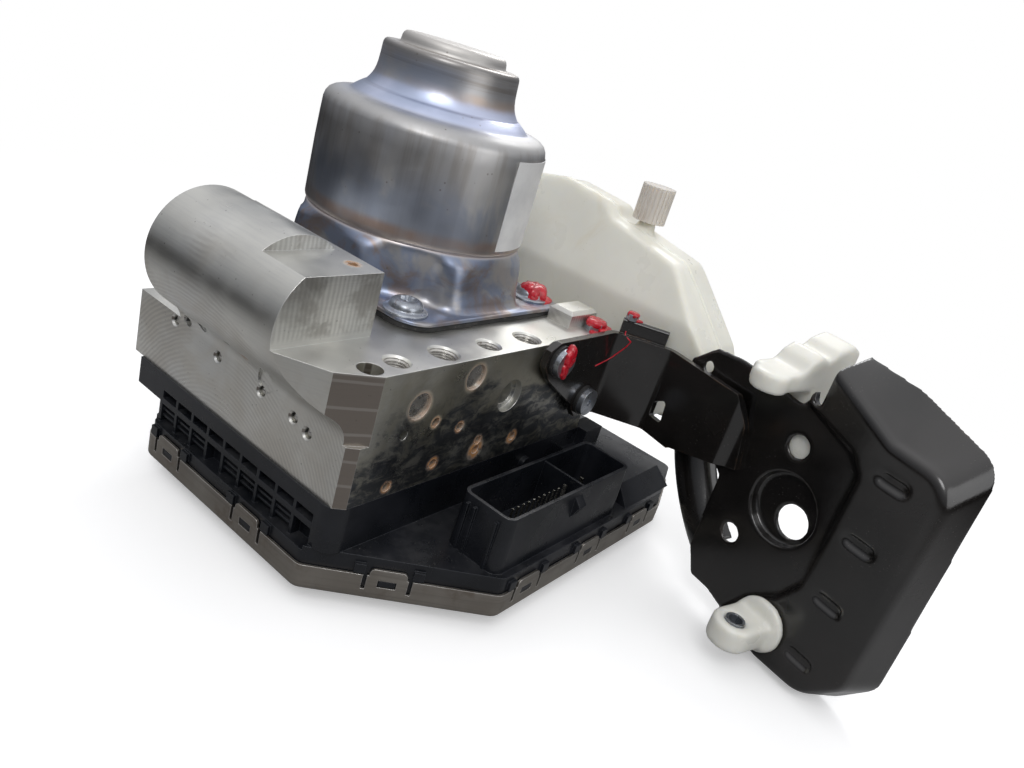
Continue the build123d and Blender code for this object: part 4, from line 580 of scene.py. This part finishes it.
def lobed_radius(angle, reach, neck, scoop, crest):
    """Radius of the can's lobed foot in a direction, before it is smoothed."""
    c, s = abs(math.cos(angle)), abs(math.sin(angle))
    wide = min(LOBE_HALF / s if s > 1e-6 else 1e6, reach / c if c > 1e-6 else 1e6)
    tall = min(LOBE_HALF / c if c > 1e-6 else 1e6, reach / s if s > 1e-6 else 1e6)
    radius = max(neck, min(crest, max(wide, tall)))
    for x, y in SCREW_SPOTS:
        centre = Vector((x, y))
        heading = Vector((math.cos(angle), math.sin(angle)))
        along = centre.dot(heading)
        aside = centre.length_squared - along * along
        reach_in = scoop ** 2 - aside
        if along > 0 and reach_in > 0:
            radius = min(radius, max(30.0, along - math.sqrt(reach_in)))
    return radius


def smooth_ring(values, width):
    """A ring of values averaged over their neighbours."""
    count = len(values)
    weights = [math.exp(-0.5 * (k / width) ** 2) for k in range(-3 * width, 3 * width + 1)]
    total = sum(weights)
    span = range(-3 * width, 3 * width + 1)
    return [sum(values[(i + k) % count] * w for k, w in zip(span, weights)) / total for i in range(count)]


def flange_radius(angle):
    """Distance from the motor's axis to the flange's edge in a direction."""
    heading = Vector((math.cos(angle), math.sin(angle)))
    low, high = 20.0, 90.0
    for _ in range(26):
        middle = (low + high) / 2
        x = abs(heading.x * middle - FLANGE_SHIFT_X) - (FLANGE_HALF_X - FLANGE_CORNER)
        y = abs(heading.y * middle - FLANGE_SHIFT_Y) - (FLANGE_HALF_Y - FLANGE_CORNER)
        outside = math.hypot(max(x, 0), max(y, 0)) + min(max(x, y), 0) - FLANGE_CORNER
        if outside > 0:
            high = middle
        else:
            low = middle
    return (low + high) / 2


def motor_can():
    angles = [2 * math.pi * i / CAN_SIDES for i in range(CAN_SIDES)]

    def ring(radii, z):
        return [
            (MOTOR_X + r * math.cos(a), MOTOR_Y + r * math.sin(a), DECK_Z + z)
            for r, a in zip(radii, angles)
        ]

    def round_ring(radius, z):
        return ring([radius] * CAN_SIDES, z)

    rings = []
    edge = [flange_radius(a) for a in angles]
    # Underside, rounded edge and top of the flange
    rings.append(round_ring(30, FLANGE_UNDER))
    half = (FLANGE_TOP - FLANGE_UNDER) / 2
    rings.append(ring([r - half for r in edge], FLANGE_UNDER))
    for turn in (-60, -30, 0, 30, 60, 90):
        t = math.radians(turn)
        out, height = half * math.cos(t), half * math.sin(t)
        rings.append(ring([r - half + out for r in edge], FLANGE_UNDER + half + height))
    # Foot of the lobes, blended into the flange, and their drafted sides
    lobes = {}
    for z in (4.0, 4.3, 5.2, 7.0, 10, 14, 18, 21, 23, 24.4):
        reach = 46.9 + 0.135 * (25 - z)
        rise = (z - 4) / 20.4
        neck = 45.2 + 1.6 * rise ** 2
        scoop = 12.5 - rise
        crest = 47.4 + 5 * (1 - rise) ** 0.32
        lobes[z] = smooth_ring([lobed_radius(a, reach, neck, scoop, crest) for a in angles], 2)
    for out, z in ((4.4, 4.0), (3.0, 4.15), (1.9, 4.6), (1.0, 5.5), (0.4, 6.9), (0.1, 8.4)):
        base = lobes[4.0]
        rings.append(ring([min(r + out, e - 1.2) for r, e in zip(base, edge)], z))
    for z in (10, 14, 18, 21, 23):
        rings.append(ring([min(r, e - 1.2) for r, e in zip(lobes[z], edge)], z))
    # The lobes close under the can's rim
    for share, z in ((0.1, 24.6), (0.35, 25.2), (0.7, 25.6), (1.0, 25.8)):
        rings.append(ring([r * (1 - share) + 46.2 * share for r in lobes[24.4]], z))
    # The can, its shoulder, cone, cap and button
    for radius, z in (
        (46.5, 26.1), (46.8, 26.6), (46.95, 27.2), (47.0, 28.2), (47.0, 38), (47.0, 50), (46.8, 60),
        (46.6, 65.6), (46.1, 67.6), (45.1, 69.2), (43.6, 70.3), (42.0, 70.9), (40.4, 71.2), (38.0, 71.5),
        (37.2, 71.75), (36.6, 72.1), (35.8, 72.9), (34.6, 73.9), (33.3, 74.9), (32.3, 75.6), (31.9, 75.75),
        (31.5, 76.1), (30.7, 77.2), (29.9, 78.5), (29.2, 80.0), (28.7, 81.8), (28.35, 84.0), (28.15, 87),
        (28.0, 90.6), (27.85, 91.6), (27.45, 92.4), (26.8, 92.9), (26.0, 93.05), (23.0, 93.1), (22.0, 93.25),
        (21.6, 93.7), (21.45, 94.6), (21.3, 95.7), (20.9, 96.7), (20.1, 97.5), (19.0, 97.75), (17.0, 97.9),
        (12.0, 97.94), (6.0, 97.96), (1.5, 97.96),
    ):
        rings.append(round_ring(radius, z))
    points, faces = rings_to_faces(rings)
    mesh = mesh_from("motor_can_drawn", points, faces)
    sharpen(mesh, 60)
    return piece_from(
        "motor_can_drawn", mesh, looks["can_metal"], stands_for=("motor_can",)
    )


motor_can()


def gasket_edge():
    """The thick gasket that shows under the can's flange, a little wavy at its edge."""
    def outline(inset, z):
        ring = []
        for i in range(CAN_SIDES):
            a = 2 * math.pi * i / CAN_SIDES
            sway = 0.35 * math.sin(9 * a) + 0.25 * math.sin(23 * a + 1)
            r = flange_radius(a) - inset + sway
            ring.append((MOTOR_X + r * math.cos(a), MOTOR_Y + r * math.sin(a), DECK_Z + z))
        return ring

    def inner(z):
        turns = [2 * math.pi * i / CAN_SIDES for i in range(CAN_SIDES)]
        return [(MOTOR_X + 38 * math.cos(a), MOTOR_Y + 38 * math.sin(a), DECK_Z + z) for a in turns]

    low, high = 0.03, FLANGE_UNDER - 0.04
    rings = [inner(low), outline(1.0, low), outline(0.75, 0.3), outline(0.75, 2.0)]
    rings += [outline(1.0, high), inner(high)]
    points, faces = rings_to_faces(rings, closed_ends=False)
    last = 5 * CAN_SIDES
    for i in range(CAN_SIDES):
        j = (i + 1) % CAN_SIDES
        faces.append((last + i, last + j, j, i))
    mesh = mesh_from("gasket_edge", points, faces)
    sharpen(mesh, 60)
    return piece_from(
        "gasket_edge", mesh, looks["gasket_rubber"], stands_for=("motor_gasket",)
    )


gasket_edge()


# Screws
def turned(place, up, profile, sides=48):
    """Rings of a turned shape along an axis; a third value in the profile gives a ring six lobes."""
    up = Vector(up).normalized()
    side = up.orthogonal().normalized()
    cross = up.cross(side)
    rings = []
    for radius, height, shape in profile:
        ring = []
        for i in range(sides):
            a = 2 * math.pi * i / sides
            r = radius * (1 + shape * math.cos(6 * a)) if shape else radius
            ring.append(Vector(place) + side * (r * math.cos(a)) + cross * (r * math.sin(a)) + up * height)
        rings.append(ring)
    return rings


def join_shapes(name, shapes):
    points, faces = [], []
    for rings in shapes:
        new_points, new_faces = rings_to_faces(rings)
        base = len(points)
        points += [tuple(p) for p in new_points]
        faces += [tuple(i + base for i in face) for face in new_faces]
    return mesh_from(name, points, faces)


# Radius, height and lobes of the shank, the cone of the washer, the dome and the recess
SCREW_PROFILE = (
    (3.9, -13.9, 0), (3.9, 0.0, 0), (8.6, 0.0, 0), (8.75, 0.25, 0), (8.75, 0.7, 0),
    (8.5, 0.95, 0), (7.9, 1.2, 0), (7.2, 1.45, 0), (6.85, 1.65, 0), (6.75, 1.9, 0),
    (6.72, 2.3, 0), (6.6, 2.9, 0), (6.3, 3.5, 0), (5.8, 4.1, 0), (5.1, 4.6, 0), (4.3, 4.9, 0),
    (3.6, 5.02, 0.03), (3.1, 5.0, 0.10), (2.95, 4.8, 0.12), (2.8, 3.2, 0.12), (2.6, 2.9, 0.12),
    (1.0, 2.7, 0),
)
screw_places = [(MOTOR_X + x, MOTOR_Y + y, DECK_Z + FLANGE_TOP) for x, y in SCREW_SPOTS]
screws = join_shapes("flange_screws", [turned(place, (0, 0, 1), SCREW_PROFILE) for place in screw_places])
sharpen(screws, 40)
piece_from("flange_screws", screws, looks["screw_metal"], stands_for=("motor_screws",))


# Label, threads and marking paint
def plain_patch():
    """The bare label, bent round the can."""
    columns, rows = 40, 30
    outer, inner = 47.22, 46.9
    points = []
    for radius in (outer, inner):
        for row in range(rows + 1):
            z = BLOCK_Z + 78.5 + 36.3 * row / rows
            for column in range(columns + 1):
                a = math.radians(-92 + 44 * column / columns)
                points.append((MOTOR_X + radius * math.cos(a), MOTOR_Y + radius * math.sin(a), z))
    wide = columns + 1
    layer = wide * (rows + 1)
    faces = []
    for row in range(rows):
        for column in range(columns):
            i = row * wide + column
            faces.append((i, i + 1, i + wide + 1, i + wide))
            faces.append((layer + i, layer + i + wide, layer + i + wide + 1, layer + i + 1))
    rim = [column for column in range(wide)]
    rim += [row * wide + columns for row in range(1, rows + 1)]
    rim += [rows * wide + column for column in range(columns - 1, -1, -1)]
    rim += [row * wide for row in range(rows - 1, 0, -1)]
    for a, b in zip(rim, rim[1:] + rim[:1]):
        faces.append((a, b, b + layer, a + layer))
    mesh = mesh_from("label_patch", points, faces)
    sharpen(mesh, 40)
    return piece_from("label_patch", mesh, LABEL)


plain_patch()


def threaded(place, radius, pitch, depth):
    """Rings of an internal thread from the mouth of a port down."""
    sides = 64
    rings = []

    def ring(r, z, lead):
        made = []
        for i in range(sides):
            a = 2 * math.pi * i / sides
            made.append(Vector(place) + Vector((r * math.cos(a), r * math.sin(a), z + lead * i / sides)))
        return made

    turns = int(depth / pitch)
    rings.append(ring(radius - 0.03, -0.9, 0))
    for turn in range(turns):
        top = -1.2 - turn * pitch
        rings.append(ring(radius - 0.05, top, 0))
        rings.append(ring(radius - 0.62, top - pitch * 0.42, 0))
        rings.append(ring(radius - 0.62, top - pitch * 0.55, 0))
    rings.append(ring(radius - 0.05, -1.2 - turns * pitch, 0))
    return rings


def port_threads():
    shapes = []
    for x, radius, pitch in ((20.3, 4.5, 1.0), (69.5, 4.5, 1.0), (43.8, 5.5, 1.0), (94.3, 5.5, 1.0)):
        place = block(x, 8.1, 50)
        shapes.append(threaded(place, radius, pitch, 10))
    points, faces = [], []
    for rings in shapes:
        new_points, new_faces = rings_to_faces(rings, closed_ends=False)
        base = len(points)
        points += [tuple(p) for p in new_points]
        faces += [tuple(i + base for i in face) for face in new_faces]
    mesh = mesh_from("port_threads", points, faces)
    sharpen(mesh, 30)
    return piece_from("port_threads", mesh, looks["ball_metal"])


port_threads()


# Share of a daub's width and of its height, from its underside over its rim to its top
DAUB_PROFILE = (
    (0.02, -0.5), (0.92, -0.5), (1.0, 0.05), (0.99, 0.3), (0.93, 0.62),
    (0.8, 0.85), (0.6, 0.97), (0.35, 1.0), (0.12, 1.0),
)


def paint_blob(place, up, wide, high, seed, stretch=(1.0, 1.0), heading=(1, 0, 0)):
    """Rings of a thick daub of paint with a ragged outline."""
    up = Vector(up).normalized()
    side = (Vector(heading) - up * up.dot(Vector(heading))).normalized()
    cross = up.cross(side)
    sides = 56
    rings = []
    for share, height in DAUB_PROFILE:
        ring = []
        for i in range(sides):
            a = 2 * math.pi * i / sides
            ragged = 1 + 0.2 * noise.noise(Vector((2.1 * math.cos(a) + seed, 2.1 * math.sin(a), 0.3)))
            ragged += 0.06 * noise.noise(Vector((6 * math.cos(a) + seed, 6 * math.sin(a), 4)))
            r = wide * share * ragged
            bumps = Vector((r * 0.5 * math.cos(a) + seed * 3, r * 0.5 * math.sin(a), 2))
            lump = 1 + 0.2 * noise.noise(bumps)
            z = height * high * (lump if height > 0 else 1)
            spot = side * (r * stretch[0] * math.cos(a)) + cross * (r * stretch[1] * math.sin(a))
            ring.append(Vector(place) + spot + up * z)
        rings.append(ring)
    return rings


def marking_paint():
    screw = Vector((MOTOR_X + SCREW_ASIDE, MOTOR_Y + SCREW_FRONT, DECK_Z + FLANGE_TOP))
    shapes = [
        paint_blob(screw + Vector((0.8, -1.2, 1.0)), (0, 0, 1), 6.6, 5.6, 1.0),
        paint_blob(screw + Vector((3.4, -5.0, -0.2)), (0, -0.3, 1), 5.2, 2.2, 2.0, (1.25, 0.8)),
        paint_blob(screw + Vector((-3.0, -3.5, 0.8)), (0, 0, 1), 3.2, 2.6, 3.0),
        paint_blob(block(141.5, 4.6, 53.2), (0, 0, 1), 4.9, 2.2, 4.0),
        paint_blob(block(143.4, 0.2, 51.0), (0.1, -0.4, 1), 4.4, 1.6, 5.0, (1.3, 0.8)),
        paint_blob(block(137.6, 1.6, 50.1), (0, 0, 1), 3.0, 1.0, 6.0),
        paint_blob(block(103.4, -8.2, 47.6), (0, -1, 0), 4.1, 2.2, 7.0, (0.75, 1.25)),
        paint_blob(block(102.4, -8.4, 42.2), (0, -1, 0), 3.1, 1.5, 8.0, (0.7, 1.4)),
        paint_blob(block(105.7, -8.0, 45.2), (0, -1, 0), 2.2, 1.3, 9.0),
    ]
    bolt = block(BEND_X, BEND_Y, 59) + ARM_ALONG * 4.5 - ARM_OUT * 3.9
    shapes += [
        paint_blob(bolt + Vector((0, 0, 2.4)), (0, 0, 1), 2.7, 1.5, 10.0),
        paint_blob(bolt + Vector((1.2, -1.6, 0.1)), (0, 0, 1), 2.0, 0.9, 11.0, (1.5, 0.7), ARM_ALONG),
    ]
    mesh = join_shapes("marking_paint", shapes)
    return piece_from("marking_paint", mesh, RED)


marking_paint()


# The thread of paint: distance along the arm from its bend, height over the block's underside, and how
# far it lies behind the arm's face, where it comes over the top edge
THREAD_RUN = (
    (3.7, 53.7, 2.4), (3.7, 52.5, 0.43), (7.2, 50.3, 0), (6, 47.3, 0), (3.8, 44, 0),
    (1.6, 40.8, 0), (-0.9, 38.9, 0), (-5, 37.9, 0), (-9.6, 37.1, 0),
)
THREAD_WIDE, THREAD_HIGH = 0.32, 0.22
THREAD_LIFT = 0.1


def paint_thread():
    """A hair-thin run of paint down the arm's face and round its bend."""
    places, outs = [], []
    for along, height, behind in THREAD_RUN:
        bent = along > 0
        heading = ARM_ALONG if bent else Vector((1, 0, 0))
        out = ARM_OUT if bent else Vector((0, -1, 0))
        # The bend is filleted, so the run stands further off the faces there
        lift = THREAD_LIFT + 0.45 * max(0, 1 - abs(along - 0.2) / 2.4)
        places.append(block(BEND_X, BEND_Y, height) + heading * along + out * (lift - behind))
        outs.append(out)
    rings = []
    for i, place in enumerate(places):
        heading = (places[min(i + 1, len(places) - 1)] - places[max(i - 1, 0)]).normalized()
        side = heading.cross(outs[i]).normalized()
        ring = []
        for k in range(10):
            a = 2 * math.pi * k / 10
            ring.append(place + side * (THREAD_WIDE * math.cos(a)) + outs[i] * (THREAD_HIGH * math.sin(a)))
        rings.append(ring)
    return piece_from("paint_thread", join_shapes("paint_thread", [rings]), RED)


paint_thread()


# Sheet metal and moulded plastic
shield_axes = Matrix((ALONG, AWAY, Vector((0, 0, 1)))).transposed()
softened("bracket_shield_drawn", "bracket_shield", 0.65, 16, shield_axes, "bracket_paint")
softened("bracket_strut_drawn", "bracket_strut", 0.8, 6, shield_axes, "bracket_paint")
softened("shield_spacer_moulded", "shield_spacer", 0.9, 22, shield_axes, "ear_plastic")
softened("tank_front_half", "reservoir_front_half", 1.0, 24, None, "tank_plastic")
softened("tank_rear_half", "reservoir_rear_half", 1.0, 24, None, "tank_plastic")


# Stage
def camera():
    data = bpy.data.cameras.new("camera")
    data.lens = 28.42
    data.sensor_width = 36
    data.clip_start = 0.01
    data.clip_end = 20
    made = bpy.data.objects.new("camera", data)
    bpy.context.scene.collection.objects.link(made)
    right = Vector((0.6023, -0.7493, 0.2753)).normalized()
    back = Vector((-0.7838, -0.4899, 0.3815)).normalized()
    up = back.cross(right).normalized()
    right = up.cross(back)
    turn = Matrix((right, up, back)).transposed().to_4x4()
    made.matrix_world = Matrix.Translation((-0.1767, -0.2576, 0.1023)) @ turn
    bpy.context.scene.camera = made


def area_light(name, place, aim, size, power, colour=(1, 1, 1)):
    data = bpy.data.lights.new(name, "AREA")
    data.shape = "DISK"
    data.size = size
    data.energy = power
    data.color = colour
    made = bpy.data.objects.new(name, data)
    made.location = place
    made.rotation_euler = (Vector(aim) - Vector(place)).to_track_quat("-Z", "Y").to_euler()
    bpy.context.scene.collection.objects.link(made)


def studio():
    scene = bpy.context.scene
    scene.view_settings.view_transform = "Standard"
    world = bpy.data.worlds.new("studio")
    scene.world = world
    world.use_nodes = True
    tree = world.node_tree
    tree.nodes.clear()
    out = tree.nodes.new("ShaderNodeOutputWorld")
    ground = tree.nodes.new("ShaderNodeBackground")
    coords = tree.nodes.new("ShaderNodeTexCoord")
    split = tree.nodes.new("ShaderNodeSeparateXYZ")
    tree.links.new(coords.outputs["Generated"], split.inputs[0])
    ramp = tree.nodes.new("ShaderNodeValToRGB")
    ramp.color_ramp.elements[0].position = 0.42
    ramp.color_ramp.elements[0].color = (0.10, 0.10, 0.11, 1)
    ramp.color_ramp.elements[1].position = 0.98
    ramp.color_ramp.elements[1].color = (0.95, 0.95, 0.97, 1)
    level = ramp.color_ramp.elements.new(0.6)
    level.color = (0.26, 0.27, 0.29, 1)
    lift = tree.nodes.new("ShaderNodeMath")
    lift.operation = "MULTIPLY_ADD"
    lift.inputs[1].default_value = 0.5
    lift.inputs[2].default_value = 0.5
    tree.links.new(split.outputs["Z"], lift.inputs[0])
    tree.links.new(lift.outputs[0], ramp.inputs[0])
    rays = tree.nodes.new("ShaderNodeLightPath")
    choose = tree.nodes.new("ShaderNodeMix")
    choose.data_type = "RGBA"
    tree.links.new(rays.outputs["Is Camera Ray"], choose.inputs[0])
    tree.links.new(ramp.outputs[0], choose.inputs[6])
    choose.inputs[7].default_value = (1, 1, 1, 1)
    tree.links.new(choose.outputs[2], ground.inputs["Color"])
    tree.links.new(ground.outputs[0], out.inputs[0])
    middle = (0.08, -0.1, 0)
    area_light("key", (-0.75, -0.55, 1.05), middle, 0.7, 5.5)
    area_light("rim", (0.9, 0.35, 0.8), middle, 0.6, 4.0)
    area_light("fill", (0.1, -1.2, 0.35), middle, 0.9, 2.2)


def floor():
    low = cad_box[0][2] - 0.0005
    half = 3000
    points = [(x * half, y * half, low / MM) for x, y in ((-1, -1), (1, -1), (1, 1), (-1, 1))]
    mesh = mesh_from("floor", points, [(0, 1, 2, 3)], False)
    made = bpy.data.objects.new("floor", mesh)
    bpy.context.scene.collection.objects.link(made)
    s = Shader("pale_floor")
    seen = s.node("ShaderNodeLightPath").outputs["Is Camera Ray"]
    pale = s.mix(s.spread(s.noise(3, 2), 0.3, 0.7), (0.80, 0.80, 0.80), (0.83, 0.83, 0.83))
    tone = s.mix(seen, (0.34, 0.34, 0.34), pale)
    far = s.node("ShaderNodeVectorMath", operation="DISTANCE")
    s.link(s.place, far.inputs[0])
    far.inputs[1].default_value = (0.08, -0.1, low)
    away = s.spread(far.outputs["Value"], 0.22, 0.6)
    tone = s.mix(away, tone, (0.0, 0.0, 0.0))
    glow = s.math("MULTIPLY", seen, s.spread(far.outputs["Value"], 0.22, 0.6, 0.34, 1.0))
    s.set(Base_Color=tone, Roughness=0.8, Specular_IOR_Level=0.0)
    s.set(Emission_Color=(1, 1, 1), Emission_Strength=glow)
    mesh.materials.append(s.material)


camera()
studio()
floor()
